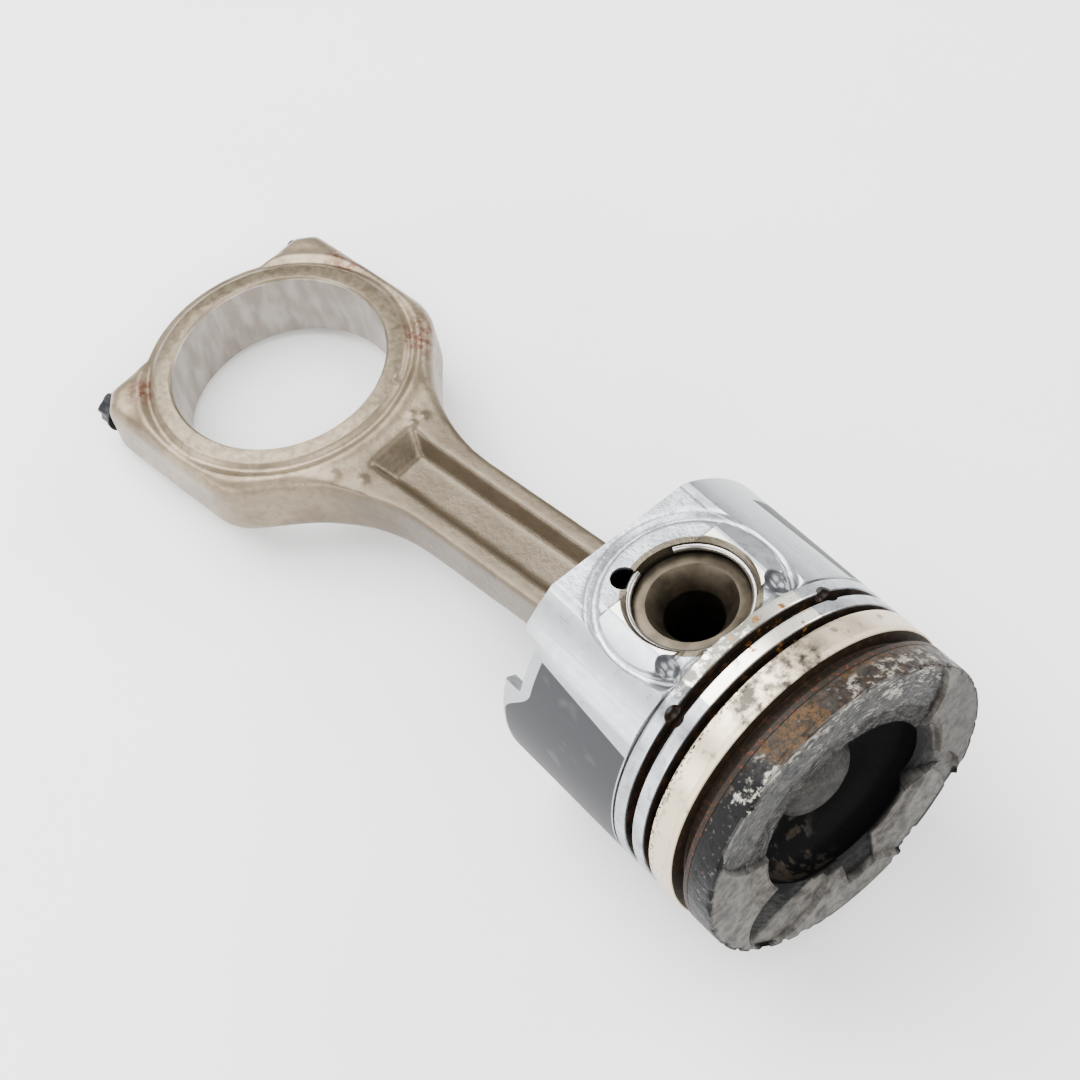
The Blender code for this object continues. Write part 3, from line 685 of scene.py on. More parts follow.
def thinning(sign):
    """The tool that thins one side of the rod from the big end's flare to the shank."""
    far, out, thin = ROD_LENGTH + 40.0, 24.0, SHANK_FACE
    outline = [(37.0, BIG_BODY), (52.0, thin), (far, thin), (far, out), (37.0, out)]
    return prism("thinning", [(x, sign * z) for x, z in outline], -60.0, 60.0, "y")


def build_forging():
    """Rod and cap as one rough forging."""
    forging = prism("connecting_rod", rod_outline(), -BIG_BODY, BIG_BODY)
    rounding = forging.modifiers.new("rounding", "BEVEL")
    rounding.width = 4.0
    rounding.segments = 5
    rounding.limit_method = "ANGLE"
    rounding.angle_limit = math.radians(60.0)
    apply_modifiers(forging)
    work(forging, "DIFFERENCE", thinning(1), channel(1), thinning(-1), channel(-1))
    eye = cylinder("eye", SMALL_OUTER, -SMALL_FACE, SMALL_FACE, 128, SMALL_END)
    ring = cylinder("ring", BIG_RING + 0.6, -BIG_FACE - 0.12, BIG_FACE + 0.12, 192)
    work(forging, "UNION", eye, ring)
    rough_bore = cylinder("rough_bore", BIG_BORE - 1.2, -30.0, 30.0, 128)
    work(forging, "DIFFERENCE", rough_bore, cylinder("rough_eye", PIN_BORE - 1.0, -30.0, 30.0, 96, SMALL_END))
    soften(forging, 0.55, 20)
    leave_forged(forging)
    return forging


def leave_forged(forging):
    """Raise the collar round the big end's ring and give the skin its unevenness and lumps."""
    points = places(forging)
    from_ring = np.hypot(points[:, 0], points[:, 1]) - BIG_RING
    collar = 0.4 * np.exp(-((from_ring - 4.6) / 1.5) ** 2) - 0.55 * np.exp(-((from_ring - 1.9) / 1.3) ** 2)
    points[:, 2] += np.sign(points[:, 2]) * ramp(7.0, 9.0, np.abs(points[:, 2])) * collar
    unworked = 0.07 * grain(points, 7.0, 3, 41) + 0.05 * grain(points, 1.6, 2, 44)
    points += normals(forging) * unworked[:, None]
    for x, y, height, size in FORGING_LUMPS:
        near = np.exp(-((points[:, 0] - x) ** 2 + (points[:, 1] - y) ** 2) / size ** 2) * (points[:, 2] > 5.0)
        points[:, 2] += height * near
    move(forging, points)


def split_forging(forging):
    """Machine the forging and split it into the rod and its cap."""
    mouth = BIG_BORE + 1.0
    half = [(20.0, 1e-3), (20.0, mouth), (BIG_FACE + 0.2, mouth), (BIG_FACE - 0.8, BIG_BORE)]
    eye = cylinder("eye_bore", BUSH_OUTER + SEAT_GAP, -30.0, 30.0, 128, SMALL_END)
    sides = ((BIG_FACE, 40.0), (-40.0, -BIG_FACE))
    slabs = [box("slab", (-60.0, -60.0, low), (60.0, 60.0, high)) for low, high in sides]
    cut(forging, lathe("bore", mirrored(half), 256), eye, *slabs)
    cap = add_object("rod_cap", forging.data.copy())
    for thing, low, high in ((forging, PARTING_GAP, ROD_LENGTH + 60.0), (cap, -60.0, -PARTING_GAP)):
        work(thing, "INTERSECT", box("half", (low, -60.0, -30.0), (high, 60.0, 30.0)), solver="MANIFOLD")
    for side in (1, -1):
        centre = (side * BOLT_Y, 0.0)
        for thing in (forging, cap):
            cut(thing, cylinder("hole", BOLT_SHANK + SEAT_GAP, -50.0, BOLT_REACH + 2.0, 48, centre, "x"))
        cut(cap, cylinder("seat", SPOT_FACE_RADIUS, -60.0, -BOLT_SEAT, 64, centre, "x"))
    return forging, cap


# ---- small pieces

def build_carrier():
    low, high, inner = CARRIER
    groove_low, groove_high, floor = TOP_GROOVE
    top = TOP_LAND
    rows = [(low, inner), (low, BORE_RADIUS), (groove_low - 0.2, BORE_RADIUS)]
    rows += [(groove_low, BORE_RADIUS - 0.2), (groove_low, floor + 0.3), (groove_low + 0.3, floor)]
    rows += [(groove_high - 0.3, floor), (groove_high, floor + 0.3), (groove_high, top - 0.2)]
    rows += [(groove_high + 0.2, top), (high - 0.15, top), (high, top - 0.15), (high, inner)]
    return lathe("iron_ring_carrier", rows, 480, "x", loop=True)


def build_pin():
    mouth, depth = PIN_CONE
    half, radius, chamfer = PIN_HALF_LENGTH, PIN_RADIUS, 0.9
    rows = [(half, mouth + 0.2), (half, radius - chamfer - 0.1), (half - 0.1, radius - chamfer + 0.05),
            (half - chamfer, radius - 0.06), (half - chamfer - 0.3, radius)]
    inside = [(half - depth - 0.5, PIN_HOLE), (half - depth + 0.1, PIN_HOLE + 0.12), (half - 0.2, mouth)]
    rows = mirrored(rows) + [(-height, radius) for height, radius in reversed(inside)] + inside
    return lathe("hollow_gudgeon_pin", rows, 240, loop=True)


def build_circlip(name, z):
    """A round wire bent to an open ring, its two ends cut square and just broken."""
    start, end = CLIP_GAP[1], CLIP_GAP[0] + 2 * math.pi
    rows = []
    count = 160
    for step in range(-1, count + 2):
        turn = start + (end - start) * min(max(step / count, 0.0), 1.0)
        turn += {-1: -0.008, count + 1: 0.008}.get(step, 0.0)
        wire = CLIP_WIRE * (0.8 if step in (-1, count + 1) else 1.0)
        outwards = Vector((math.cos(turn), math.sin(turn), 0.0))
        row = []
        for spin in np.linspace(0, 2 * math.pi, 20, endpoint=False):
            point = outwards * (CLIP_RADIUS + wire * math.cos(spin))
            row.append(tuple(point + Vector((0.0, 0.0, z + wire * math.sin(spin)))))
        rows.append(row)
    return from_grid(name, np.array(rows))


def build_bolt(name, side):
    """Flanged bolt with a six-lobed head, its shank in the rod."""
    radius, height = BOLT_HEAD
    flange, thickness = BOLT_FLANGE
    seat = BOLT_SEAT + SEAT_GAP
    top, rim = seat + height, seat + thickness
    steps = 96
    rows = [(top - 0.9, 0.4, 0.0), (top - 0.9, 2.3, 0.0), (top, 2.8, 0.0), (top, radius - 0.7, 0.6),
            (top - 0.5, radius - 0.1, 1.0), (rim + 0.6, radius - 0.1, 1.0), (rim + 0.2, radius, 0.0),
            (rim, flange - 0.15, 0.0), (seat + 0.2, flange, 0.0), (seat, flange - 0.1, 0.0),
            (seat, BOLT_SHANK, 0.0), (1.0 - BOLT_REACH, BOLT_SHANK, 0.0),
            (-BOLT_REACH, BOLT_SHANK - 1.0, 0.0), (-BOLT_REACH, 0.4, 0.0)]
    turn = np.linspace(0, 2 * math.pi, steps, endpoint=False)
    grid = []
    for x, width, lobe in rows:
        wave = width - 0.45 * lobe * (1 + np.cos(6 * turn))
        y, z = side * BOLT_Y + wave * np.cos(turn), wave * np.sin(turn)
        grid.append(np.stack([np.full(steps, -x), y, z], -1))
    return from_grid(name, np.array(grid))


def build_bush():
    half = SMALL_FACE - 0.4
    rows = [(half, PIN_BORE + 0.3), (half, BUSH_OUTER), (-half, BUSH_OUTER), (-half, PIN_BORE + 0.3)]
    rows += [(0.3 - half, PIN_BORE), (half - 0.3, PIN_BORE)]
    bush = lathe("bronze_bush", rows, 128, loop=True)
    bush.data.transform(Matrix.Translation((ROD_LENGTH, 0.0, 0.0)))
    return bush


# ---- materials

def plug(tree, item, slot):
    """Link a socket to a shader input, or set the input to a number, a colour or a vector."""
    if isinstance(item, Value):
        item = item.socket
    if isinstance(item, bpy.types.NodeSocket):
        tree.links.new(item, slot)
    elif isinstance(item, tuple) and len(item) == 3 and slot.type == "RGBA":
        slot.default_value = (*item, 1.0)
    else:
        slot.default_value = item


def add_node(tree, kind, inputs, **settings):
    """A shader node with its settings made and its inputs, by name or number, plugged."""
    node = tree.nodes.new("ShaderNode" + kind)
    for name, setting in settings.items():
        setattr(node, name, setting)
    for name, item in inputs.items():
        plug(tree, item, node.inputs[name])
    return node


class Value:
    """A number in a shader that adds, multiplies and compares the way a plain number does."""

    def __init__(self, tree, socket):
        self.tree = tree
        self.socket = socket

    def math(self, operation, *others):
        inputs = dict(enumerate((self,) + others))
        return Value(self.tree, add_node(self.tree, "Math", inputs, operation=operation).outputs[0])

    def __add__(self, other):
        return self.math("ADD", other)

    def __sub__(self, other):
        return self.math("SUBTRACT", other)

    def __mul__(self, other):
        return self.math("MULTIPLY", other)

    def __abs__(self):
        return self.math("ABSOLUTE")

    def flipped(self):
        return (self * -1.0) + 1.0

    def capped(self):
        return self.math("MINIMUM", 1.0)

    def ramp(self, low, high):
        """0 up to low, 1 from high on, smooth between; low above high falls instead."""
        rises = low < high
        inputs = {"Value": self, "From Min": min(low, high), "From Max": max(low, high),
                  "To Min": float(not rises), "To Max": float(rises)}
        node = add_node(self.tree, "MapRange", inputs, interpolation_type="SMOOTHSTEP")
        return Value(self.tree, node.outputs["Result"])

    def between(self, low, high, soft):
        return self.ramp(low - soft, low + soft) * self.ramp(high + soft, high - soft)


def distance(across, along):
    """How far two shader values are from nought together."""
    return (across * across + along * along).math("SQRT")


class Finish:
    """A material built from the place on the piece, in millimetres in its design frame."""

    def __init__(self, name, design):
        self.material = bpy.data.materials.new(name)
        self.material.use_nodes = True
        self.tree = self.material.node_tree
        self.shader = self.tree.nodes["Principled BSDF"]
        where = add_node(self.tree, "TexCoord", {})
        into_design = (design @ Matrix.Scale(MM, 4)).inverted()
        back = add_node(self.tree, "Mapping", {
            "Vector": where.outputs["Object"], "Scale": [1.0 / MM] * 3, "Location": into_design.translation,
            "Rotation": design.to_quaternion().inverted().to_euler()})
        self.place = back.outputs[0]
        apart = add_node(self.tree, "SeparateXYZ", {0: self.place})
        self.x, self.y, self.z = (Value(self.tree, socket) for socket in apart.outputs)

    def noise(self, size, detail=3.0, roughness=0.55, stretch=(1.0, 1.0, 1.0), shift=0.0, place=None):
        """Cloudy values round 0.5 whose lumps are about size across, longer where stretch is more."""
        mapping = add_node(self.tree, "Mapping", {
            "Vector": place or self.place, "Scale": [1.0 / (size * part) for part in stretch],
            "Location": (shift, shift * 1.7, shift * 0.6)})
        node = add_node(self.tree, "TexNoise", {
            "Vector": mapping.outputs[0], "Scale": 1.0, "Detail": detail, "Roughness": roughness})
        return Value(self.tree, node.outputs["Fac"])

    def vector(self, *parts):
        return add_node(self.tree, "CombineXYZ", dict(enumerate(parts))).outputs[0]

    def mask(self, name):
        """A channel painted on the mesh's points."""
        return Value(self.tree, add_node(self.tree, "Attribute", {}, attribute_name=name).outputs["Fac"])

    def mix(self, share, first, second):
        return add_node(self.tree, "Mix", {0: share, 6: first, 7: second}, data_type="RGBA").outputs[2]

    def level(self, share, first, second):
        """A number that goes from first to second with share."""
        return share * second + share.flipped() * first

    def done(self, colour, roughness, metallic, relief=None, specular=0.5):
        """Set the shader's inputs; relief is a height in millimetres."""
        self.shader.inputs["Specular IOR Level"].default_value = specular
        for name, item in (("Base Color", colour), ("Roughness", roughness), ("Metallic", metallic)):
            plug(self.tree, item, self.shader.inputs[name])
        if relief is not None:
            bump = add_node(self.tree, "Bump", {"Strength": 1.0, "Distance": MM, "Height": relief})
            self.tree.links.new(bump.outputs[0], self.shader.inputs["Normal"])
        return self.material


def round_piston(f):
    """The radius from the piston's axis, and the angle round it in degrees from the pin's front end."""
    degrees = (f.y * -1.0).math("ARCTAN2", f.z) * (180.0 / math.pi)
    return distance(f.y, f.z), degrees


def land_colour(f, degrees):
    """Cream-white oxide smudged with grey, and black specks along the land's lower edge."""
    smudge = f.noise(3.6, 5.0, 0.62, shift=2.0)
    share = smudge.ramp(0.56, 0.72) * 0.7 + smudge.ramp(0.38, 0.58) * degrees.between(-14.0, 22.0, 8.0) * 0.9
    colour = f.mix(share.capped(), (0.60, 0.50, 0.365), (0.055, 0.049, 0.039))
    specks = f.noise(0.6, 3.0, 0.7, (1.0, 1.6, 1.6), 8.0).ramp(0.54, 0.58) * f.x.ramp(30.8, 29.2)
    return f.mix(specks * degrees.ramp(6.0, 14.0), colour, (0.012, 0.011, 0.010))


def crown_colour(f, degrees, radius):
    """Burnt metal: dark fouling, paler ash, bare scratches, rust, and black carbon mixed with painted shade
    on the pocket walls and wedges, where they are painted.
    """
    around = f.vector(degrees * 0.22, radius * 1.5, f.x * 0.5)
    swirl = f.noise(1.0, 5.0, 0.72, shift=3.0, place=around)
    colour = f.mix(swirl.ramp(0.36, 0.64), (0.005, 0.005, 0.006), (0.046, 0.044, 0.042))
    ashy = f.noise(3.4, 5.0, 0.62, shift=9.0).ramp(0.3, 0.7)
    ash = f.mix(ashy, (0.038, 0.035, 0.031), (0.128, 0.119, 0.106))
    colour = f.mix(f.mask("ash"), colour, ash)
    scratch = f.mask("scrape") * swirl.ramp(0.48, 0.55)
    colour = f.mix(scratch, colour, (0.33, 0.31, 0.265))
    rusty = f.noise(1.4, 4.0, 0.7, shift=7.0).ramp(0.38, 0.62)
    rust = f.mix(rusty, (0.016, 0.012, 0.007), (0.062, 0.032, 0.012))
    colour = f.mix(f.mask("rust"), colour, rust)
    # Near black where this mask is: real carbon in the bowl and on the top land, and painted shade on the
    # walls below the crown face and on the wedges.
    return f.mix(f.mask("soot_and_shade"), colour, (0.003, 0.003, 0.0032))


def cast_sides(f, cloud, blotch):
    """Colour, roughness and hollows of the bare casting: milled faces, boss hollows, pin bore and notch; the
    boss hollows and the inside of the notch are painted dark as painted shade.
    """
    colour = f.mix(cloud.ramp(0.3, 0.7), (0.27, 0.285, 0.305), (0.50, 0.52, 0.54))
    colour = f.mix(blotch.ramp(0.50, 0.70) * 0.6, colour, (0.15, 0.155, 0.165))
    milled = abs(f.z).ramp(BOSS_FACE - 0.12, BOSS_FACE - 0.04)
    colour = f.mix(milled, colour, (0.86, 0.83, 0.72))
    outer = abs(f.z).ramp(31.0, 32.0) * f.x.ramp(BELT_END, BELT_END - 0.3)
    from_hollow = distance(f.x - HOLLOW_X, abs(f.y) - HOLLOW_Y)
    hollow = from_hollow.ramp(5.0, 3.0) * outer * milled.flipped()
    # The boss hollows are painted dark grey here: painted shade.
    colour = f.mix(hollow * 0.85, colour, (0.085, 0.087, 0.092))
    roughness = f.level(hollow, blotch * 0.30 + 0.16, 0.3)
    lined = distance(f.x, f.y).ramp(17.0, 16.7) * outer * milled.flipped()
    colour = f.mix(lined, colour, f.mix(cloud, (0.075, 0.063, 0.045), (0.13, 0.112, 0.082)))
    # The inside of the clip notch is painted near black: painted shade.
    x, y, notch_radius = CLIP_NOTCH
    notch = distance(f.x - x, f.y - y).ramp(notch_radius + 0.15, notch_radius)
    colour = f.mix(notch * abs(f.z).ramp(38.2, 37.2), colour, (0.010, 0.010, 0.011))
    return colour, roughness, hollow


def skirt_coat(f, colour, roughness, radius):
    """The turned skirt and the graphite patch printed on it; also where the patch is."""
    folded = abs(f.y).math("ARCTAN2", abs(f.z)) * (180.0 / math.pi)
    skirt = radius.ramp(42.55, 42.7) * f.x.ramp(BELT_END + 0.1, BELT_END - 0.1)
    colour = f.mix(skirt, colour, (0.38, 0.395, 0.41))
    left = f.x * 0.14 + 52.9
    bottom = folded.ramp(64.0, 80.0) * -8.2 - 17.2
    coat = (folded - left).ramp(-0.15, 0.15) * (f.x - bottom).ramp(-0.12, 0.12) * f.x.ramp(15.1, 14.9) * skirt
    witness = f.noise(5.0, 2.0, 0.4, (2.2, 1.0, 1.0), 4.0).ramp(0.60, 0.72)
    colour = f.mix(coat, colour, f.mix(witness, (0.040, 0.041, 0.044), (0.068, 0.068, 0.072)))
    return colour, f.level(coat, roughness, 0.5), coat


def ring_belt(f, colour, blotch, radius, degrees):
    """Smudged lands and rusty grooves; also where the grooves are."""
    on_land = radius.ramp(42.4, 42.6)
    second = f.x.between(GROOVES[0][1], CARRIER[0] + 2.0, 0.05) * on_land
    colour = f.mix(second, colour, land_colour(f, degrees))
    fourth = f.x.between(BELT_END, GROOVES[1][0], 0.1) * degrees.between(-8.0, 34.0, 9.0) * on_land
    colour = f.mix(fourth * blotch.ramp(0.3, 0.5) * 0.9, colour, (0.036, 0.033, 0.028))
    grooves = radius.ramp(42.6, 42.3) * radius.ramp(38.0, 38.2) * f.x.between(18.0, 29.0, 0.3)
    groove_colour = f.mix(blotch.ramp(0.5, 0.7), (0.014, 0.010, 0.0075), (0.045, 0.021, 0.011))
    colour = f.mix(grooves, colour, groove_colour)
    stain = f.x.between(17.0, 27.0, 0.6) * degrees.between(-24.0, 8.0, 5.0) * blotch.ramp(0.57, 0.66)
    return f.mix(stain, colour, (0.27, 0.125, 0.022)), grooves


def alloy_finish():
    """Piston alloy: cast sides, turned lands, graphite-coated skirt, fouled crown."""
    f = Finish("piston_alloy", PISTON)
    radius, degrees = round_piston(f)
    fine = f.noise(0.35, 4.0, 0.6)
    blotch = f.noise(2.6, 4.0, 0.62)
    colour, roughness, hollow = cast_sides(f, f.noise(9.0, 4.0), blotch)
    colour, roughness, coat = skirt_coat(f, colour, roughness, radius)
    colour, grooves = ring_belt(f, colour, blotch, radius, degrees)
    bowl = f.x.ramp(30.5, 31.0) * radius.ramp(31.0, 30.0)
    burnt = (f.x.ramp(41.5, 41.6) + bowl).capped()
    colour = f.mix(burnt, colour, crown_colour(f, degrees, radius))
    roughness = f.level(burnt, roughness, blotch * 0.5 + 0.18)
    roughness = f.level(bowl, roughness, 0.75)
    metallic = f.level(burnt, 0.88, 0.12)
    metallic = f.level(coat, metallic, 0.25)
    metallic = f.level(grooves, metallic, 0.2)
    rings = f.noise(0.22, 2.0, 0.5, (1.0, 60.0, 60.0), 1.0)
    cast = radius.ramp(42.0, 41.6) * f.x.ramp(15.8, 15.4) * abs(f.z).ramp(BOSS_FACE - 0.1, BOSS_FACE - 0.3)
    relief = (fine * 0.05 + f.noise(1.1, 3.0, 0.6) * 0.10) * cast * hollow.flipped()
    relief = relief + rings * 0.012 * radius.ramp(42.0, 42.3)
    relief = relief + (f.noise(0.8, 4.0, 0.7) * 0.09 * f.mask("ash").flipped() + fine * 0.02) * burnt
    return f.done(colour, roughness, metallic, relief, 0.12)


def carrier_finish():
    f = Finish("ring_carrier_iron", PISTON)
    radius, degrees = round_piston(f)
    groove = f.mix(f.noise(1.6, 4.0, 0.65).ramp(0.5, 0.7), (0.016, 0.011, 0.007), (0.048, 0.023, 0.012))
    rusty = f.noise(1.0, 4.0, 0.7, shift=5.0).ramp(0.54, 0.66)
    upper = f.mix(rusty, (0.014, 0.011, 0.008), (0.10, 0.022, 0.007))
    below_groove = f.x.ramp(36.6, 36.3) * radius.ramp(42.5, 42.7)
    colour = f.mix(below_groove, f.mix(f.x.ramp(39.8, 40.1), groove, upper), land_colour(f, degrees))
    relief = f.noise(0.6, 4.0, 0.7) * 0.05 * below_groove.flipped()
    return f.done(colour, 0.5, f.level(below_groove, 0.1, 0.8), relief, 0.12)


def pin_finish():
    f = Finish("pin_steel", PISTON)
    radius = distance(f.x, f.y)
    cloud = f.noise(6.0, 3.0)
    colour = f.mix(cloud.ramp(0.3, 0.7), (0.042, 0.034, 0.024), (0.085, 0.069, 0.048))
    # The bore through the pin is painted near black: painted shade.
    colour = f.mix(radius.ramp(7.6, 7.3), colour, (0.012, 0.011, 0.01))
    turned = f.noise(0.25, 2.0, 0.5, (40.0, 40.0, 1.0))
    return f.done(colour, cloud * 0.15 + 0.30, 0.9, turned * 0.008)


def steel_finish(name, design, colour, roughness):
    f = Finish(name, design)
    cloud = f.noise(2.0, 3.0)
    darker = tuple(part * 0.75 for part in colour)
    return f.done(f.mix(cloud.ramp(0.3, 0.7), darker, colour), cloud * 0.1 + roughness, 0.95,
                  f.noise(0.3, 3.0) * 0.01)


def forged_finish():
    """Forged steel: shot-blasted skin with rust, ground ring faces and bore."""
    f = Finish("forged_steel", ROD)
    radius = distance(f.x, f.y)
    cloud = f.noise(12.0, 4.0)
    mottle = f.noise(2.2, 4.0, 0.65)
    skin = f.mix(cloud.ramp(0.3, 0.7), (0.135, 0.102, 0.064), (0.235, 0.186, 0.124))
    skin = f.mix(f.x.ramp(28.0, 54.0) * 0.72, skin, (0.062, 0.047, 0.030))
    skin = f.mix(mottle.ramp(0.5, 0.75) * 0.5, skin, (0.075, 0.056, 0.038))
    flecks = f.noise(2.4, 4.0, 0.7, shift=3.0).ramp(0.4, 0.6)
    stained = f.noise(16.0, 4.0, 0.6, shift=12.0).ramp(0.60, 0.70) * 0.4
    for x, y, reach in RUST_PLACES:
        stained = stained + distance(f.x - x, f.y - y).ramp(reach, reach * 0.3)
    skin = f.mix(stained.capped() * flecks, skin, (0.092, 0.036, 0.019))
    ground = abs(f.z).ramp(BIG_FACE - 0.12, BIG_FACE - 0.03) * radius.ramp(36.4, 35.4)
    bored = radius.ramp(BIG_BORE + 0.3, BIG_BORE + 0.1)
    # The lighter and darker streaks along the bore's axis are painted reflections.
    reflection_streaks = f.noise(4.0, 3.0, 0.5, (1.0, 1.0, 3.0), 6.0)
    skin = f.mix(ground, skin, f.mix(mottle.ramp(0.35, 0.65), (0.105, 0.081, 0.051), (0.175, 0.139, 0.092)))
    colour = f.mix(bored, skin, f.mix(reflection_streaks.ramp(0.35, 0.7), (0.21, 0.18, 0.15), (0.32, 0.29, 0.255)))
    bright = (ground + bored).capped()
    roughness = f.level(bright, mottle * 0.24 + 0.22, 0.28)
    relief = (f.noise(1.4, 4.0, 0.6) * 0.09 + f.noise(0.35, 2.0) * 0.02) * bright.flipped()
    return f.done(colour, roughness, 0.6, relief)


# ---- painted masks

def paint_piston(thing):
    """Where the piston is sooty, scraped bare or rusty, and where the walls below the crown face and the
    wedges are darkened as painted shade, from the place of each point.
    """
    points = places(thing)
    x, y, z = points.T
    radius = np.hypot(y, z)
    angle = np.degrees(np.arctan2(-y, z))
    spotty = grain(points, 3.0, 4, 50)
    fine = grain(points, 1.1, 3, 55)
    flakes = ramp(0.02, 0.12, grain(points, 2.4, 5, 61))
    spots = ramp(0.16, 0.24, grain(points, 1.3, 4, 66))
    on_top = ramp(43.2, 43.6, x) * ramp(42.35, 42.1, radius) * (x < 49.75)
    across_bowl = np.hypot(y, z - BOWL_CENTRE_Z)
    in_bowl = ramp(47.6, 46.6, x) * (x > 31.0) * ramp(28.4, 27.9, across_bowl)
    on_top *= 1.0 - in_bowl
    top_land = (x > 41.5) * (radius > 41.2) * ramp(CROWN - 0.1, CROWN - 0.4, x)
    height = crown_height(y, z)
    wall = ramp(0.2, 0.45, height - x) * on_top
    inlet = ramp(CROWN - 1.0, CROWN - 1.3, height) * ramp(4.0, 8.0, z)
    wedges = ramp(CROWN - 1.5, CROWN - 1.75, height)
    right = ramp(28.0, 30.0, y) * ramp(-22.0, -18.0, z) * ramp(20.0, 14.0, z)
    rim = ramp(39.5, 40.3, radius)
    # The walls below the crown face and the deep wedges are darkened here as painted shade; the spots are
    # carbon.
    soot_and_shade = 0.75 * wall + 0.5 * wedges + 0.45 * inlet * spots * (1.0 - rim) + 0.3 * spots
    soot_and_shade = on_top * np.clip(soot_and_shade, 0.0, 0.85)
    dome = ramp(14.0, 10.0, across_bowl)
    residue = ramp(13.0, 5.0, np.hypot(y + 10.0, z + 20.0)) * flakes * (x < 46.0)
    residue = np.maximum(residue, 0.8 * ramp(7.0, 2.0, np.hypot(y + 15.0, z + 8.0)) * flakes)
    soot_and_shade += in_bowl * (0.98 - 0.75 * np.maximum(dome, residue))
    # Ash is kept off the wedges so that they stay dark as painted shade.
    ash = on_top * (1.0 - 0.9 * inlet * (1.0 - 0.6 * rim)) * (1.0 - wedges) * (1.0 - 0.6 * right)
    ash = ash * (0.95 + 0.2 * spotty) + in_bowl * (0.35 * dome + 0.7 * residue)
    turn = np.where(angle < -100.0, angle + 360.0, angle)
    crusty = ramp(20.0, 40.0, turn)
    soot_and_shade += top_land * np.clip(crusty + 0.3 + 0.5 * spotty, 0.0, 1.0)
    band = ramp(18.0, 24.0, turn) * ramp(46.0, 38.0, turn) + 0.7 * ramp(-4.0, -10.0, turn)
    lower = ramp(44.0, 42.5, x) * ramp(60.0, 30.0, turn)
    scrape = top_land * np.clip(1.3 * band * flakes * (1.0 - lower) + 0.5 * ramp(0.3, 0.4, fine), 0.0, 1.0)
    soot_and_shade *= 1.0 - 0.95 * scrape
    scrape += on_top * inlet * np.clip(ramp(26.0, 38.0, z + 0.3 * y) * flakes + 0.3 * fine, 0.0, 1.0)
    scrape += on_top * 0.6 * rim * flakes * inlet
    patchy = 0.25 + 0.75 * ramp(-0.15, 0.2, grain(points, 2.6, 5, 71))
    rust = top_land * ramp(-2.0, 4.0, turn) * ramp(26.0, 20.0, turn) * patchy
    rust += top_land * 0.6 * lower * flakes
    soot_and_shade *= 1.0 - 0.8 * np.clip(rust, 0.0, 1.0)
    rust += 0.3 * on_top * right * (0.5 + spotty) + 0.6 * in_bowl * residue
    rust += 0.4 * top_land * ramp(30.0, 10.0, turn)
    for name, values in (("soot_and_shade", soot_and_shade), ("ash", ash), ("scrape", scrape), ("rust", rust)):
        layer = thing.data.attributes.new(name, "FLOAT", "POINT")
        layer.data.foreach_set("value", np.clip(values, 0.0, 1.0).astype(np.float32))


# ---- stage

def add_floor():
    form = bmesh.new()
    bmesh.ops.create_grid(form, x_segments=1, y_segments=1, size=4.0)
    floor = add_form("floor", form)
    f = Finish("pale_floor", Matrix())
    colour = f.mix(f.noise(60.0, 2.0).ramp(0.3, 0.7), (0.86, 0.86, 0.86), (0.88, 0.88, 0.88))
    floor.data.materials.append(f.done(colour, 0.7, 0.0))


def add_light(name, place, size, power):
    lamp = bpy.data.lights.new(name, "AREA")
    lamp.shape = "RECTANGLE"
    lamp.size, lamp.size_y = size
    lamp.energy = power
    thing = add_object(name, lamp)
    thing.location = place
    thing.rotation_euler = (Vector(AIM) - Vector(place)).to_track_quat("-Z", "Y").to_euler()


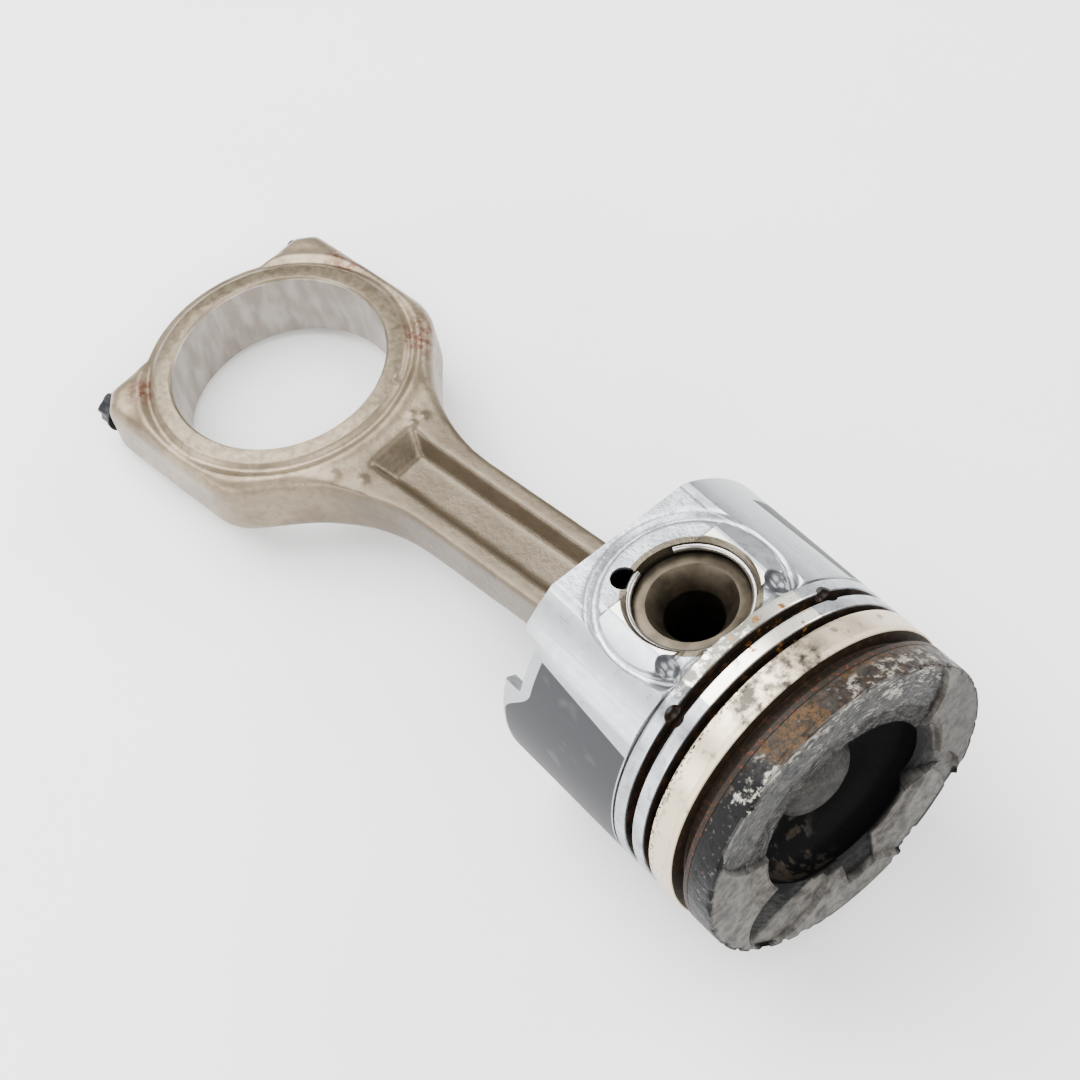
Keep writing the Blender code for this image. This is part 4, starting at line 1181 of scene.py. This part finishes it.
def add_world():
    """A sky that is white above and grey low down."""
    world = bpy.data.worlds.new("studio")
    bpy.context.scene.world = world
    world.use_nodes = True
    tree = world.node_tree
    where = add_node(tree, "TexCoord", {})
    apart = add_node(tree, "SeparateXYZ", {0: where.outputs["Generated"]})
    height = Value(tree, apart.outputs[2]).ramp(-0.1, 0.9)
    sky = add_node(tree, "Mix", {0: height, 6: (0.22, 0.225, 0.235), 7: (1.0, 1.0, 1.0)}, data_type="RGBA")
    back = tree.nodes["Background"]
    tree.links.new(sky.outputs[2], back.inputs["Color"])
    back.inputs["Strength"].default_value = 0.85


def add_camera():
    camera = bpy.data.cameras.new("camera")
    camera.lens = CAMERA_LENS
    camera.sensor_width = 36.0
    camera.clip_start = 0.01
    thing = add_object("camera", camera)
    ahead, up = Vector(CAMERA_AHEAD).normalized(), Vector(CAMERA_UP)
    up = (up - ahead * up.dot(ahead)).normalized()
    turn = Matrix((ahead.cross(up), up, -ahead)).transposed().to_4x4()
    thing.matrix_world = PISTON @ Matrix.Translation(Vector(CAMERA_PLACE) * MM) @ turn
    bpy.context.scene.camera = thing


# ---- everything together

def build_piston_side():
    body = machine(build_casting())
    body.name = "piston_casting"
    paint_piston(body)
    set_down(body, PISTON, alloy_finish(), "piston", ["piston_body"], 32.0)
    set_down(build_carrier(), PISTON, carrier_finish(), "piston", ["ring_carrier"])
    spring = steel_finish("spring_steel", PISTON, (0.36, 0.345, 0.32), 0.2)
    for name, z in (("circlip_front", CLIP_Z), ("circlip_rear", -CLIP_Z)):
        set_down(build_circlip("wire_" + name, z), PISTON, spring, "piston", [name])
    set_down(build_pin(), PISTON, pin_finish(), "pin", ["gudgeon_pin"])


def build_rod_side():
    rod, cap = split_forging(build_forging())
    rod.name, cap.name = "forged_rod", "forged_cap"
    forged = forged_finish()
    set_down(rod, ROD, forged, "rod", ["connecting_rod"], 40.0)
    set_down(cap, ROD, forged, "rod", ["rod_cap"], 40.0)
    black = steel_finish("black_oxide_steel", ROD, (0.035, 0.036, 0.04), 0.4)
    for name, side in (("cap_bolt_upper", 1), ("cap_bolt_lower", -1)):
        set_down(build_bolt("lobed_" + name, side), ROD, black, "rod", [name])
    bronze = steel_finish("bush_bronze", ROD, (0.62, 0.44, 0.22), 0.3)
    set_down(build_bush(), ROD, bronze, "rod", ["small_end_bush"])


add_camera()
add_world()
add_floor()
for lamp_name, (lamp_place, lamp_size, lamp_power) in LIGHTS.items():
    add_light(lamp_name, lamp_place, lamp_size, lamp_power)
build_piston_side()
build_rod_side()
